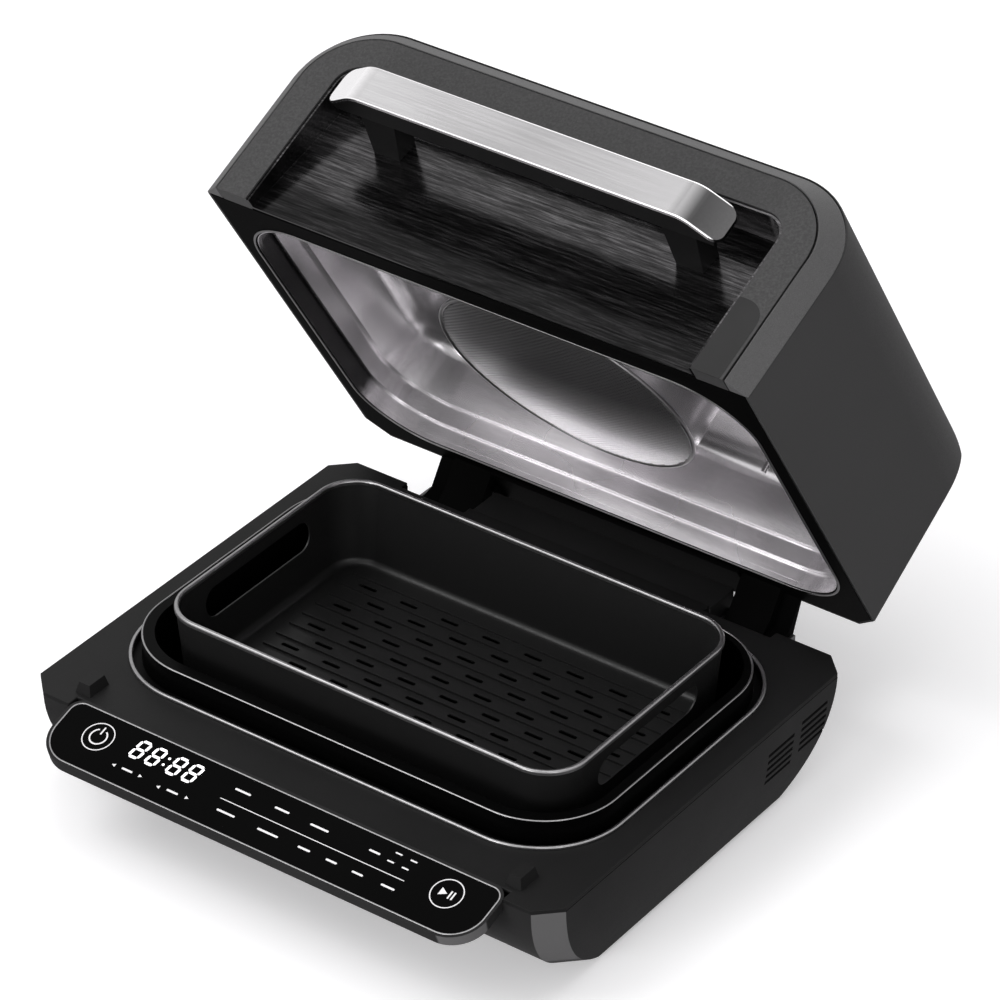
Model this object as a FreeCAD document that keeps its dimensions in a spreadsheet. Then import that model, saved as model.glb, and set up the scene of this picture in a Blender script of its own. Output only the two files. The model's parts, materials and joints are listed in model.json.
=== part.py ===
import FreeCAD, Part
import math
import os
import re

import Sketcher
from FreeCAD import Placement, Rotation, Vector

# Air fryer grill with a hinged lid. X runs to the right, Y to the back and Z up. Sizes are in millimetres.
# Base pieces are drawn from the middle of the deck's top. Lid pieces are drawn closed, from the middle of the
# lid's lower back edge. At the end all is moved so that the origin lies under the middle of the object.

SIZES = {
    # Base tub: straight deck edge, walls that curve inwards on the way down
    "base_width": 440.0,
    "base_depth": 354.0,
    "base_height": 78.0,
    "base_corner": 16.2,
    "end_curve": 84.0,
    "side_curve": 318.0,
    "base_wall": 2.6,
    "deck_thickness": 3.0,
    "bottom_thickness": 2.5,
    "bottom_clearance": 0.3,
    # Opening for the pot, with its bright ring and the well below
    "ring_half_width": 199.4,
    "ring_front": 133.9,
    "ring_back": 150.0,
    "ring_corner": 66.5,
    "ring_band": 3.0,
    "ring_height": 2.5,
    "ledge_overlap": 1.5,
    "ledge_thickness": 2.0,
    "well_half_width": 187.0,
    "well_front": 118.5,
    "well_back": 136.0,
    "well_corner": 54.0,
    "well_wall": 1.5,
    "well_depth": 52.0,
    "well_draft": 4.0,
    # Cooking pot
    "pot_half_width": 192.1,
    "pot_front": 123.5,
    "pot_back": 139.0,
    "pot_corner": 59.0,
    "lip_height": 16.5,
    "lip_side_band": 8.5,
    "lip_front_band": 10.2,
    "lip_back_band": 5.5,
    "bowl_corner": 50.0,
    "pot_wall": 1.5,
    "pot_depth": 42.0,
    "pot_draft": 4.0,
    "pot_floor_round": 8.0,
    "seat_clearance": 0.3,
    # Fry basket
    "basket_half_width": 167.2,
    "basket_front": 96.0,
    "basket_back": 116.8,
    "basket_corner": 30.0,
    "basket_rim_height": 37.5,
    "rim_round": 1.75,
    "basket_wall": 1.2,
    "basket_draft": 5.0,
    "basket_floor": 28.0,
    "basket_floor_round": 6.0,
    "finger_slot_length": 117.0,
    "finger_slot_height": 23.0,
    "finger_slot_low": 2.0,
    "floor_slot_length": 15.0,
    "floor_slot_width": 3.4,
    "floor_slot_pitch": 36.0,
    "floor_row_pitch": 15.0,
    "floor_rib_width": 1.6,
    "floor_rib_height": 1.8,
    "basket_foot_radius": 5.0,
    # Hinge: axis behind the lower back edge of the closed lid
    "axis_back": 14.2,
    "axis_drop": 37.6,
    "closed_gap": 8.3,
    "open_angle": 57.49,
    "pin_radius": 4.0,
    "pin_fit": 0.02,
    "arm_fit": 0.05,
    "arm_inner": 108.0,
    "arm_outer": 155.0,
    "arm_step": 141.0,
    "arm_setback": 6.0,
    "arm_top_front": 10.0,
    "arm_foot_drop": 21.5,
    "arm_top_back": 1.0,
    "barrel_radius": 12.0,
    "notch_inner": 103.5,
    "notch_outer": 159.0,
    "notch_clearance": 1.2,
    "notch_depth": 50.0,
    "bracket_thickness": 2.5,
    "bracket_side_gap": 0.5,
    "washer_radius": 9.0,
    "washer_gap": 0.1,
    # Housing behind the deck between the hinge arms, with the mains inlet
    "rear_housing_reach": 31.0,
    "rear_housing_drop": 58.0,
    "rear_housing_slope": 18.0,
    "inlet_width": 27.0,
    "inlet_height": 19.5,
    "inlet_offset": 60.0,
    "inlet_drop": 29.0,
    "inlet_rim": 2.5,
    "inlet_rim_thickness": 1.5,
    "inlet_wall": 1.8,
    "inlet_depth": 22.0,
    "inlet_floor": 3.0,
    "inlet_pin_width": 4.0,
    "inlet_pin_thickness": 2.0,
    "inlet_pin_length": 14.0,
    "inlet_pin_pitch": 7.0,
    "inlet_pin_rise": 2.5,
    "inlet_fit": 0.1,
    # Side vents: two groups of slots
    "vent_slot_height": 3.0,
    "vent_pitch": 5.9,
    "vent_length": 32.0,
    "vent_front_start": 77.5,
    "vent_front_drop": 21.5,
    "vent_back_start": 118.0,
    "vent_back_drop": 17.5,
    # Feet, screws and bosses
    "foot_radius": 10.0,
    "foot_height": 5.0,
    "foot_draft": 12.0,
    "foot_side": 182.0,
    "foot_end": 98.0,
    "boss_width": 12.0,
    "boss_inner": 194.0,
    "boss_height": 25.0,
    "boss_end": 76.0,
    "screw_radius": 1.8,
    "screw_length": 14.0,
    "screw_head_radius": 3.8,
    "screw_head_height": 2.0,
    "screw_fit": 0.1,
    # Stops at the front of the deck
    "bumper_side": 180.0,
    "bumper_back": 153.5,
    "bumper_width": 13.0,
    "bumper_length": 20.0,
    "bumper_height": 8.0,
    "bumper_draft": 14.0,
    # Sloping control panel
    "panel_half_width": 178.0,
    "panel_width": 46.0,
    "panel_back": 171.0,
    "panel_slope": 17.5,
    "panel_front_corner": 23.0,
    "panel_back_corner": 8.0,
    "glass_thickness": 2.0,
    "glass_fit": 0.1,
    "trim_band": 1.2,
    "trim_proud": 0.2,
    "hood_rim": 2.0,
    "hood_thickness": 8.5,
    "hood_undercut": 14.0,
    "hood_draft": 45.0,
    "board_thickness": 1.6,
    "board_room": 4.5,
    "display_left": 126.0,
    "display_right": 52.0,
    "display_margin": 7.0,
    "digit_left": 116.0,
    "digit_right": 60.0,
    "digit_front": 23.0,
    "digit_back": 12.0,
    # Power electronics on the bottom plate
    "power_board_length": 190.0,
    "power_board_width": 90.0,
    "power_board_rise": 5.0,
    "power_part_height": 11.0,
    "power_leg": 8.0,
    # Lid shell
    "lid_width": 440.0,
    "lid_front": 352.7,
    "lid_height": 167.0,
    "lid_lean": 7.4,
    "lid_arch": 60.0,
    "lid_back_round": 38.0,
    "lid_back_corner": 17.0,
    "lid_back_draft": 1.5,
    "lid_wall": 2.6,
    "exhaust_width": 70.0,
    "exhaust_height": 4.0,
    "exhaust_pitch": 10.0,
    "exhaust_low": 70.0,
    # Fascia: arched front frame, with the strip that joins it to the shell
    "fascia_half_width": 205.0,
    "fascia_top": 153.3,
    "fascia_corner": 50.0,
    "fascia_depth": 14.4,
    "opening_half_width": 180.5,
    "opening_top": 127.9,
    "opening_corner": 19.0,
    "seam": 0.8,
    "strip_edge": 1.0,
    "strip_setback": 0.6,
    "strip_top": 168.4,
    "frame_sink": 7.0,
    "inlay_height": 61.5,
    "inlay_margin": 2.0,
    "inlay_corner": 16.0,
    "inlay_depth": 0.8,
    # Panel set back inside the fascia
    "tray_wall": 2.0,
    "tray_fit": 0.1,
    "tray_setback": 1.5,
    "panel_foot_depth": 10.0,
    "panel_head_depth": 31.0,
    # Handle, measured in the plane of the fascia
    "handle_reach": 38.7,
    "handle_half_width": 158.6,
    "handle_straight": 133.7,
    "handle_end_reach": 22.4,
    "handle_bend": 7.0,
    "handle_low": 78.5,
    "handle_high": 107.5,
    "handle_tip_round": 8.0,
    "handle_plate": 2.5,
    "core_back_reach": 17.0,
    "core_inset": 1.5,
    "core_end_inset": 5.0,
    "post_inner": 107.5,
    "post_outer": 136.0,
    "post_foot_inner": 114.0,
    "post_foot_outer": 134.0,
    "post_low": 84.0,
    "post_high": 102.0,
    "post_foot_low": 80.0,
    "post_foot_high": 99.0,
    "post_foot_depth": 27.0,
    "handle_screw_side": 124.0,
    "handle_screw_up": 92.0,
    "handle_screw_shank": 16.0,
    "handle_screw_radius": 2.5,
    "handle_screw_head": 5.0,
    "handle_screw_head_height": 3.0,
    # Under-frame, gasket and polished liner of the lid
    "mouth_half_width": 204.5,
    "mouth_front": 316.0,
    "mouth_back": 24.0,
    "mouth_corner": 52.0,
    "frame_thickness": 4.0,
    "gasket_inset": 1.0,
    "gasket_band": 1.8,
    "gasket_height": 0.8,
    "liner_wall": 1.2,
    "liner_flange": 6.0,
    "liner_step": 4.0,
    "liner_first": 14.5,
    "liner_second": 29.0,
    "liner_height": 72.0,
    "liner_draft": 9.0,
    "liner_round": 16.0,
    # Fan, heater and motor
    "fan_back": 168.5,
    "guard_radius": 100.8,
    "guard_low": 25.0,
    "guard_rim": 3.2,
    "guard_sheet": 1.0,
    "guard_dome": 6.0,
    "guard_hole": 2.6,
    "guard_ring_pitch": 12.0,
    "collar_wall": 1.4,
    "heater_radius": 84.0,
    "heater_tube": 3.3,
    "heater_lead": 2.7,
    "heater_up": 50.0,
    "heater_lead_angle": 6.0,
    "heater_lead_top": 86.0,
    "heater_hole_gap": 0.4,
    "shaft_radius": 3.0,
    "shaft_fit": 0.05,
    "shaft_low": 36.0,
    "shaft_high": 122.0,
    "shaft_hole_gap": 1.5,
    "impeller_radius": 62.0,
    "impeller_hub": 10.0,
    "impeller_low": 38.0,
    "impeller_height": 22.0,
    "impeller_disc": 2.0,
    "blade_thickness": 1.6,
    "cooling_radius": 42.0,
    "cooling_low": 79.0,
    "cooling_height": 10.0,
    "motor_radius": 27.0,
    "motor_low": 99.0,
    "motor_height": 32.0,
    "bracket_plate": 3.0,
    "bracket_half_length": 62.0,
    "bracket_half_width": 22.0,
    "bracket_leg": 6.0,
    "probe_radius": 2.0,
    "probe_side": 128.0,
    "probe_back": 96.0,
    "probe_low": 44.0,
    "probe_top": 82.0,
    "flap_side_gap": 0.3,
    "flap_thickness": 3.0,
    "flap_front": 14.0,
    "flap_back": 27.0,
    # Cuts run past the solid by this much
    "overrun": 5.0,
}

SECTION_SHARES = (0, 0.3, 0.55, 0.8, 1)
SLOT_END_SHARE = 0.48
RING_ROUND_SHARE = 0.4
RIM_ROUND_SHARE = 0.9
EXHAUST_INNER_SHARE = 0.2
VENT_COUNT = 5
FLOOR_SLOT_COLUMNS = 8
FLOOR_ROWS = 11
EXHAUST_ROWS = 6
GUARD_RINGS = 7
GUARD_HOLES_IN_FIRST_RING = 6
IMPELLER_BLADES = 10
COOLING_BLADES = 8
BOTTOM_CORNERS = ((-1, -1), (1, -1), (1, 1), (-1, 1))

# Two places this close are the same place
NEAR = 0.01

document = FreeCAD.newDocument("AirFryerGrill")
sheet = document.addObject("Spreadsheet::Sheet", "Sizes")
for row, (alias, size) in enumerate(SIZES.items(), start=1):
    sheet.set("A%d" % row, alias)
    sheet.set("B%d" % row, str(size))
    sheet.setAlias("B%d" % row, alias)
document.recompute()

nodes = {}


# Expressions

def bound(text):
    """Point each size name of an expression at the sheet."""
    def full_name(found):
        return "Sizes." + found.group(0) if found.group(0) in SIZES else found.group(0)
    return re.sub(r"[a-z]+(?:_[a-z]+)*", full_name, text)


def value(text):
    """Work out an expression from the sheet."""
    return float(sheet.evalExpression(bound(text)))


def sheet_angle(text):
    """Write a sine, cosine or tangent so that the sheet reads its argument as degrees."""
    return "(%s) * 1 deg" % text


# Sketches

def new_body(label):
    body = document.addObject("PartDesign::Body", label)
    body.Label = label
    return body


def new_sketch(body, plane_role, offset="0"):
    """Attach a sketch to one of the body's own planes, at an offset along the plane's normal."""
    sketch = body.newObject("Sketcher::SketchObject", body.Label + "_sketch")
    plane = next(item for item in body.Origin.OriginFeatures if item.Role == plane_role)
    sketch.AttachmentSupport = [(plane, "")]
    sketch.MapMode = "FlatFace"
    if offset != "0":
        sketch.setExpression("AttachmentOffset.Base.z", bound(offset))
    return sketch


def arc_centre(start, end, radius):
    """Centre of the arc that turns left from start to end."""
    middle = (start + end) * 0.5
    half = (end - start).Length / 2
    rise = math.sqrt(max(radius ** 2 - half ** 2, 0))
    left = Vector(start.y - end.y, end.x - start.x, 0).normalize()
    return middle + left * rise


def outline(sketch, points):
    """Closed outline, drawn anticlockwise.

    Each point is (x, y) or (x, y, radius), where a radius makes the stretch to the next point an arc.
    """
    first = sketch.GeometryCount
    places = [Vector(value(point[0]), value(point[1]), 0) for point in points]
    count = len(points)
    constraints = []
    sizes = []
    for index, point in enumerate(points):
        start = places[index]
        end = places[(index + 1) % count]
        if len(point) == 3:
            centre = arc_centre(start, end, value(point[2]))
            circle = Part.Circle(centre, Vector(0, 0, 1), value(point[2]))
            arc = Part.ArcOfCircle(circle, circle.parameter(start), circle.parameter(end))
            sketch.addGeometry(arc, False)
            constraints.append(Sketcher.Constraint("Radius", first + index, value(point[2])))
            sizes.append(point[2])
        else:
            sketch.addGeometry(Part.LineSegment(start, end), False)
    for index, point in enumerate(points):
        edge = first + index
        following = first + (index + 1) % count
        constraints.append(Sketcher.Constraint("Coincident", edge, 2, following, 1))
        sizes.append("0")
        for axis, size, place in (("X", point[0], places[index].x), ("Y", point[1], places[index].y)):
            constraints.append(Sketcher.Constraint("Distance" + axis, -1, 1, edge, 1, place))
            sizes.append(size)
    base = sketch.ConstraintCount
    sketch.addConstraint(constraints)
    for index, size in enumerate(sizes):
        if size != "0":
            sketch.setExpression("Constraints[%d]" % (base + index), bound(size))


def rectangle(sketch, left, right, low, high):
    outline(sketch, [(left, low), (right, low), (right, high), (left, high)])


def rounded(sketch, left, right, low, high, low_corner, high_corner=None):
    """Rectangle with round corners; the two at the high side can have a radius of their own."""
    top = high_corner or low_corner
    outline(sketch, [
        ("%s + %s" % (left, low_corner), low),
        ("%s - (%s)" % (right, low_corner), low, low_corner),
        (right, "%s + %s" % (low, low_corner)),
        (right, "%s - (%s)" % (high, top), top),
        ("%s - (%s)" % (right, top), high),
        ("%s + %s" % (left, top), high, top),
        (left, "%s - (%s)" % (high, top)),
        (left, "%s + %s" % (low, low_corner), low_corner),
    ])


def arch(sketch, half_width, low, high, corner):
    """Upright rectangle with the two upper corners round."""
    outline(sketch, [
        ("-(%s)" % half_width, low),
        (half_width, low),
        (half_width, "%s - (%s)" % (high, corner), corner),
        ("%s - (%s)" % (half_width, corner), high),
        ("-(%s) + %s" % (half_width, corner), high, corner),
        ("-(%s)" % half_width, "%s - (%s)" % (high, corner)),
    ])


def disc(sketch, centre_x, centre_y, radius):
    place = Vector(value(centre_x), value(centre_y), 0)
    index = sketch.addGeometry(Part.Circle(place, Vector(0, 0, 1), value(radius)), False)
    base = sketch.ConstraintCount
    sketch.addConstraint([
        Sketcher.Constraint("DistanceX", -1, 1, index, 3, place.x),
        Sketcher.Constraint("DistanceY", -1, 1, index, 3, place.y),
        Sketcher.Constraint("Radius", index, value(radius)),
    ])
    for step, size in enumerate((centre_x, centre_y, radius)):
        if size != "0":
            sketch.setExpression("Constraints[%d]" % (base + step), bound(size))


# Features

def extrude(kind, body, sketch, length, draft=None, flip=False, both_ways=False):
    feature = body.newObject("PartDesign::" + kind, body.Label + "_" + kind.lower())
    feature.Profile = sketch
    feature.setExpression("Length", bound(length))
    feature.Reversed = flip
    if both_ways:
        feature.SideType = "Symmetric"
    if draft:
        feature.setExpression("TaperAngle", bound(draft))
    return feature


def pad(body, sketch, length, draft=None, flip=False, both_ways=False):
    """Add material along the sketch's normal, or against it when flipped."""
    return extrude("Pad", body, sketch, length, draft, flip, both_ways)


def pocket(body, sketch, length, draft=None, flip=False, both_ways=False):
    """Cut against the sketch's normal, or along it when flipped."""
    return extrude("Pocket", body, sketch, length, draft, flip, both_ways)


def loft(body, sketches):
    feature = body.newObject("PartDesign::AdditiveLoft", body.Label + "_loft")
    feature.Profile = sketches[0]
    feature.Sections = sketches[1:]
    return feature


def revolve(body, sketch, kind="Revolution"):
    feature = body.newObject("PartDesign::" + kind, body.Label + "_" + kind.lower())
    feature.Profile = sketch
    feature.ReferenceAxis = (sketch, ["V_Axis"])
    feature.Angle = 360
    return feature


def repeat_line(body, feature, direction, length, count):
    pattern = body.newObject("PartDesign::LinearPattern", body.Label + "_row")
    pattern.Originals = [feature]
    pattern.Direction = direction
    pattern.setExpression("Length", bound(length))
    pattern.Occurrences = count
    body.Tip = pattern
    return pattern


def repeat_turn(body, feature, sketch, count):
    pattern = body.newObject("PartDesign::PolarPattern", body.Label + "_turn")
    pattern.Originals = [feature]
    pattern.Axis = (sketch, ["N_Axis"])
    pattern.Angle = 360
    pattern.Occurrences = count
    body.Tip = pattern
    return pattern


def round_edges(body, feature, radius, wanted):
    """Round the edges of a feature for which wanted(edge) holds."""
    document.recompute()
    names = ["Edge%d" % number for number, edge in enumerate(feature.Shape.Edges, start=1) if wanted(edge)]
    fillet = body.newObject("PartDesign::Fillet", body.Label + "_round")
    fillet.Base = (feature, names)
    fillet.setExpression("Radius", bound(radius))
    return fillet


def at_height(text):
    """Test for edges that lie flat at a height."""
    height = value(text)
    return lambda edge: max(abs(edge.BoundBox.ZMin - height), abs(edge.BoundBox.ZMax - height)) < NEAR


def cut(label, base, *tools):
    """Subtract one or more tools from a base."""
    result = base
    for number, tool in enumerate(tools, start=1):
        step = document.addObject("Part::Cut", label if number == len(tools) else "%s_%d" % (label, number))
        step.Base = result
        step.Tool = tool
        result = step
    result.Label = label
    return result


def common(label, *shapes):
    result = document.addObject("Part::MultiCommon", label)
    result.Shapes = list(shapes)
    result.Label = label
    return result


def fuse(label, *shapes):
    result = document.addObject("Part::MultiFuse", label)
    result.Shapes = list(shapes)
    result.Label = label
    return result


def mirrored(label, source):
    result = document.addObject("Part::Mirroring", label)
    result.Source = source
    result.Normal = Vector(1, 0, 0)
    result.Label = label
    return result


def box(label, left, right, front, back, low, high):
    """Block between two corners given as expressions."""
    block = document.addObject("Part::Box", label)
    for name, start, end in (("Length", left, right), ("Width", front, back), ("Height", low, high)):
        block.setExpression(name, bound("(%s) - (%s)" % (end, start)))
    block.Placement = Placement(Vector(value(left), value(front), value(low)), Rotation())
    return block


def keep(label, item, placement=None):
    """Make an item one of the sub-parts that are written out."""
    item.Label = label
    if placement is not None:
        item.Placement = placement
    nodes[label] = item
    return item


def keep_pair(name, item, placement=None):
    """Keep an item on the right side and its mirror image on the left side."""
    keep(name + "_right", item, placement)
    return keep(name + "_left", mirrored(name + "_left", item))


# Places

HINGE_Y = "(base_depth / 2 + axis_back)"
HINGE_Z = "(closed_gap - axis_drop)"


def lid_placement():
    """The lid turned open about its axis."""
    turn = Rotation(Vector(1, 0, 0), -value("open_angle"))
    axis = Placement(Vector(0, value(HINGE_Y), value(HINGE_Z)), turn)
    return axis * Placement(Vector(0, -value("axis_back"), value("axis_drop")), Rotation())


def fascia_placement():
    """Frame of the fascia inside the lid: Y runs inwards, Z up along the leaning front."""
    return Placement(Vector(0, -value("lid_front"), 0), Rotation(Vector(1, 0, 0), -value("lid_lean")))


def panel_placement():
    """Frame of the sloping control panel: Y runs up the slope, Z out of the glass."""
    return Placement(Vector(0, -value("panel_back"), 0), Rotation(Vector(1, 0, 0), value("panel_slope")))


def fan_placement():
    return Placement(Vector(0, -value("fan_back"), 0), Rotation())


# Base

def tub_section(sketch, depth, inset):
    """Eight-sided outline of the tub at a depth below the deck."""
    end = "(base_depth / 2 - (end_curve - sqrt(end_curve ^ 2 - (%s) ^ 2)) - (%s))" % (depth, inset)
    side = "(base_width / 2 - (side_curve - sqrt(side_curve ^ 2 - (%s) ^ 2)) - (%s))" % (depth, inset)
    corner = "(base_corner - (%s) * (2 - sqrt(2)))" % inset
    outline(sketch, [
        ("-%s + %s" % (side, corner), "-" + end),
        ("%s - %s" % (side, corner), "-" + end),
        (side, "-%s + %s" % (end, corner)),
        (side, "%s - %s" % (end, corner)),
        ("%s - %s" % (side, corner), end),
        ("-%s + %s" % (side, corner), end),
        ("-" + side, "%s - %s" % (end, corner)),
        ("-" + side, "-%s + %s" % (end, corner)),
    ])


def tub(label, inset):
    """Solid with the outline of the tub, drawn in by an inset."""
    body = new_body(label)
    sections = []
    for share in SECTION_SHARES:
        depth = "(deck_thickness + %s * (base_height - deck_thickness))" % share
        sketch = new_sketch(body, "XY_Plane", "-" + depth)
        tub_section(sketch, depth, inset)
        sections.append(sketch)
    loft(body, sections)
    return body


BAY_BACK = "(hood_rim + trim_band + glass_fit - panel_back)"
NOTCH_FRONT = "(base_depth / 2 - arm_top_front * (1 - closed_gap / arm_foot_drop) - notch_clearance)"


def hinge_notch(label, wall, low):
    """Room for one hinge arm at the back of the base, grown by a wall."""
    return box(label, "notch_inner - %s" % wall, "notch_outer + %s" % wall, "%s - %s" % (NOTCH_FRONT, wall),
               "base_depth / 2 + overrun", "-notch_depth - %s" % wall, low)


def boss_block(label, side, end):
    """Block for a screw boss that runs into the side wall."""
    body = new_body(label)
    sketch = new_sketch(body, "XY_Plane", "bottom_thickness - base_height")
    middle = "%d * boss_end" % end
    inner, outer = ("boss_inner", "base_width / 2")
    left, right = (inner, outer) if side > 0 else ("-" + outer, "-" + inner)
    rectangle(sketch, left, right, "%s - boss_width / 2" % middle, "%s + boss_width / 2" % middle)
    pad(body, sketch, "boss_height")
    return body


def boss_place(side, end):
    return "%d * (boss_inner + boss_width / 2)" % side, "%d * boss_end" % end


def vent_cutter():
    """Slots through both side walls."""
    body = new_body("vent_cutter")
    for start, drop in (("vent_front_start", "vent_front_drop"), ("vent_back_start", "vent_back_drop")):
        sketch = new_sketch(body, "YZ_Plane")
        for step in range(VENT_COUNT):
            high = "(-%s - %d * vent_pitch + vent_slot_height / 2)" % (drop, step)
            rectangle(sketch, start, "%s + vent_length" % start, "%s - vent_slot_height" % high, high)
        pad(body, sketch, "base_width + overrun", both_ways=True)
    return body


def base_shell(tub_solid, relief):
    """Hollow tub with the notches of the hinges, its screw bosses and the side vents."""
    room = tub("tub_room", "base_wall")
    walls = hinge_notch("notch_wall", "base_wall", "-deck_thickness")
    bosses = [boss_block("boss_block_%d" % number, side, end)
              for number, (side, end) in enumerate(BOTTOM_CORNERS, start=1)]
    room = cut("tub_room_left_free", room, walls, mirrored("notch_wall_left", walls), *bosses)
    notch = hinge_notch("notch", "0", "overrun")
    hole_body = new_body("boss_holes")
    sketch = new_sketch(hole_body, "XY_Plane", "bottom_thickness - base_height")
    for side, end in BOTTOM_CORNERS:
        disc(sketch, *boss_place(side, end), "screw_radius + screw_fit")
    pad(hole_body, sketch, "screw_length")
    keep("base_shell", cut("base_shell", tub_solid, room, notch, mirrored("notch_left", notch), hole_body,
                           vent_cutter(), relief))


def deck_cover():
    """Flat top with the opening for the pot, the hinge notches and the bay of the control panel."""
    body = new_body("deck_cover")
    sketch = new_sketch(body, "XY_Plane", "-deck_thickness")
    tub_section(sketch, "0", "0")
    pad(body, sketch, "deck_thickness")
    opening = new_sketch(body, "XY_Plane")
    rounded(opening, *ring_outline("ring_band"))
    pocket(body, opening, "deck_thickness")
    notches = new_sketch(body, "XY_Plane")
    for left, right in (("notch_inner", "notch_outer"), ("-notch_outer", "-notch_inner")):
        rectangle(notches, left, right, NOTCH_FRONT, "base_depth / 2 + overrun")
    pocket(body, notches, "deck_thickness")
    bay = new_sketch(body, "XY_Plane")
    bay_side = "(panel_half_width + trim_band + hood_rim + glass_fit)"
    rectangle(bay, "-" + bay_side, bay_side, "-base_depth / 2 - overrun", BAY_BACK)
    pocket(body, bay, "deck_thickness")
    keep("deck_cover", body)


def ring_outline(inset):
    return ("-ring_half_width + %s" % inset, "ring_half_width - (%s)" % inset, "-ring_front + %s" % inset,
            "ring_back - (%s)" % inset, "(ring_corner - (%s))" % inset)


def seat_ring():
    body = new_body("seat_ring")
    sketch = new_sketch(body, "XY_Plane")
    rounded(sketch, *ring_outline("0"))
    rounded(sketch, *ring_outline("ring_band"))
    ring = pad(body, sketch, "ring_height")
    round_edges(body, ring, "ring_band * %s" % RING_ROUND_SHARE, at_height("ring_height"))
    keep("seat_ring", body)


def well_outline(grow):
    return ("-well_half_width - %s" % grow, "well_half_width + %s" % grow, "-well_front - %s" % grow,
            "well_back + %s" % grow, "(well_corner + %s)" % grow)


def heat_well():
    """Tub under the deck: a ledge for the pot and drafted walls down to a floor."""
    body = new_body("heat_well")
    ledge = new_sketch(body, "XY_Plane", "-deck_thickness")
    rounded(ledge, *ring_outline("-ledge_overlap"))
    pad(body, ledge, "ledge_thickness", flip=True)
    wall = new_sketch(body, "XY_Plane", "-deck_thickness")
    rounded(wall, *well_outline("well_wall"))
    pad(body, wall, "well_depth + well_wall - deck_thickness", draft="-well_draft", flip=True)
    room = new_sketch(body, "XY_Plane", "-deck_thickness")
    rounded(room, *well_outline("0"))
    pocket(body, room, "well_depth - deck_thickness", draft="-well_draft")
    keep("heat_well", body)


def bottom_plate():
    body = new_body("bottom_plate")
    sketch = new_sketch(body, "XY_Plane", "-base_height")
    tub_section(sketch, "base_height", "(base_wall + bottom_clearance)")
    for side, end in BOTTOM_CORNERS:
        disc(sketch, *boss_place(side, end), "screw_radius + screw_fit")
    pad(body, sketch, "bottom_thickness")
    keep("bottom_plate", body)


def bottom_screw(number, side, end):
    """Screw driven up through the bottom plate into a boss."""
    body = new_body("base_screw_%d" % number)
    head = new_sketch(body, "XY_Plane", "-base_height")
    disc(head, *boss_place(side, end), "screw_head_radius")
    pad(body, head, "screw_head_height", flip=True)
    shank = new_sketch(body, "XY_Plane", "-base_height")
    disc(shank, *boss_place(side, end), "screw_radius")
    pad(body, shank, "screw_length")
    keep("base_screw_%d" % number, body)


def foot(number, side, end):
    body = new_body("foot_%d" % number)
    sketch = new_sketch(body, "XY_Plane", "-base_height")
    disc(sketch, "%d * foot_side" % side, "%d * foot_end" % end, "foot_radius")
    pad(body, sketch, "foot_height", draft="-foot_draft", flip=True)
    keep("foot_%d" % number, body)


def lid_bumpers():
    """Wedges that the closed lid comes down over."""
    body = new_body("lid_bumper_right")
    sketch = new_sketch(body, "XY_Plane")
    rectangle(sketch, "bumper_side - bumper_width / 2", "bumper_side + bumper_width / 2",
              "-bumper_back - bumper_length / 2", "-bumper_back + bumper_length / 2")
    pad(body, sketch, "bumper_height", draft="-bumper_draft")
    keep_pair("lid_bumper", body)


# Control panel, drawn in the frame of the slope

def pill(sketch, grow):
    """Outline of the control panel with its two large corners at the front, grown all round."""
    rounded(sketch, "-panel_half_width - %s" % grow, "panel_half_width + %s" % grow,
            "-panel_width - %s" % grow, grow, "(panel_front_corner + %s)" % grow,
            "(panel_back_corner + %s)" % grow)


def panel_relief():
    """Room for the glass, its trim and the display board, cut from the hood and from the tub behind it."""
    body = new_body("panel_relief")
    seat = new_sketch(body, "XY_Plane", "-glass_thickness")
    pill(seat, "trim_band")
    pad(body, seat, "glass_thickness + overrun")
    bay = new_sketch(body, "XY_Plane", "-glass_thickness - board_room")
    rectangle(bay, "-display_left - glass_fit", "display_right + glass_fit",
              "-panel_width + display_margin - glass_fit", "-display_margin + glass_fit")
    pad(body, bay, "board_room + glass_thickness")
    body.Placement = panel_placement()
    return body


def panel_housing(tub_solid, relief):
    """Hood that carries the glass: a rim and a bevel back to the tub, fitted to the edge of the deck."""
    body = new_body("panel_hood")
    edge = "(trim_band + hood_rim)"
    rim = new_sketch(body, "XY_Plane")
    pill(rim, edge)
    pad(body, rim, "hood_thickness", flip=True)
    under = new_sketch(body, "XY_Plane", "-hood_thickness")
    pill(under, edge)
    pad(body, under, "hood_undercut", draft="-hood_draft", flip=True)
    body.Placement = panel_placement()
    deck_edge = box("deck_edge", "-base_width / 2", "base_width / 2", BAY_BACK, "0", "-deck_thickness", "0")
    keep("panel_housing", cut("panel_housing", body, tub_solid, deck_edge, relief))


def panel_trim():
    """Thin bright edge round the glass."""
    body = new_body("panel_trim")
    sketch = new_sketch(body, "XY_Plane", "-glass_thickness")
    pill(sketch, "trim_band")
    pill(sketch, "glass_fit")
    pad(body, sketch, "glass_thickness + trim_proud")
    keep("panel_trim", body, panel_placement())


def touch_panel():
    body = new_body("touch_panel")
    sketch = new_sketch(body, "XY_Plane", "-glass_thickness")
    pill(sketch, "0")
    pad(body, sketch, "glass_thickness")
    keep("touch_panel", body, panel_placement())


def display_board():
    """Circuit board on the floor of the bay with the digit block under the glass."""
    body = new_body("display_board")
    board = new_sketch(body, "XY_Plane", "-glass_thickness - board_room")
    rectangle(board, "-display_left", "display_right", "-panel_width + display_margin", "-display_margin")
    pad(body, board, "board_thickness")
    block = new_sketch(body, "XY_Plane", "-glass_thickness - board_room")
    rectangle(block, "-digit_left", "-digit_right", "-digit_front", "-digit_back")
    pad(body, block, "board_room - glass_fit")
    keep("display_board", body, panel_placement())


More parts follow.
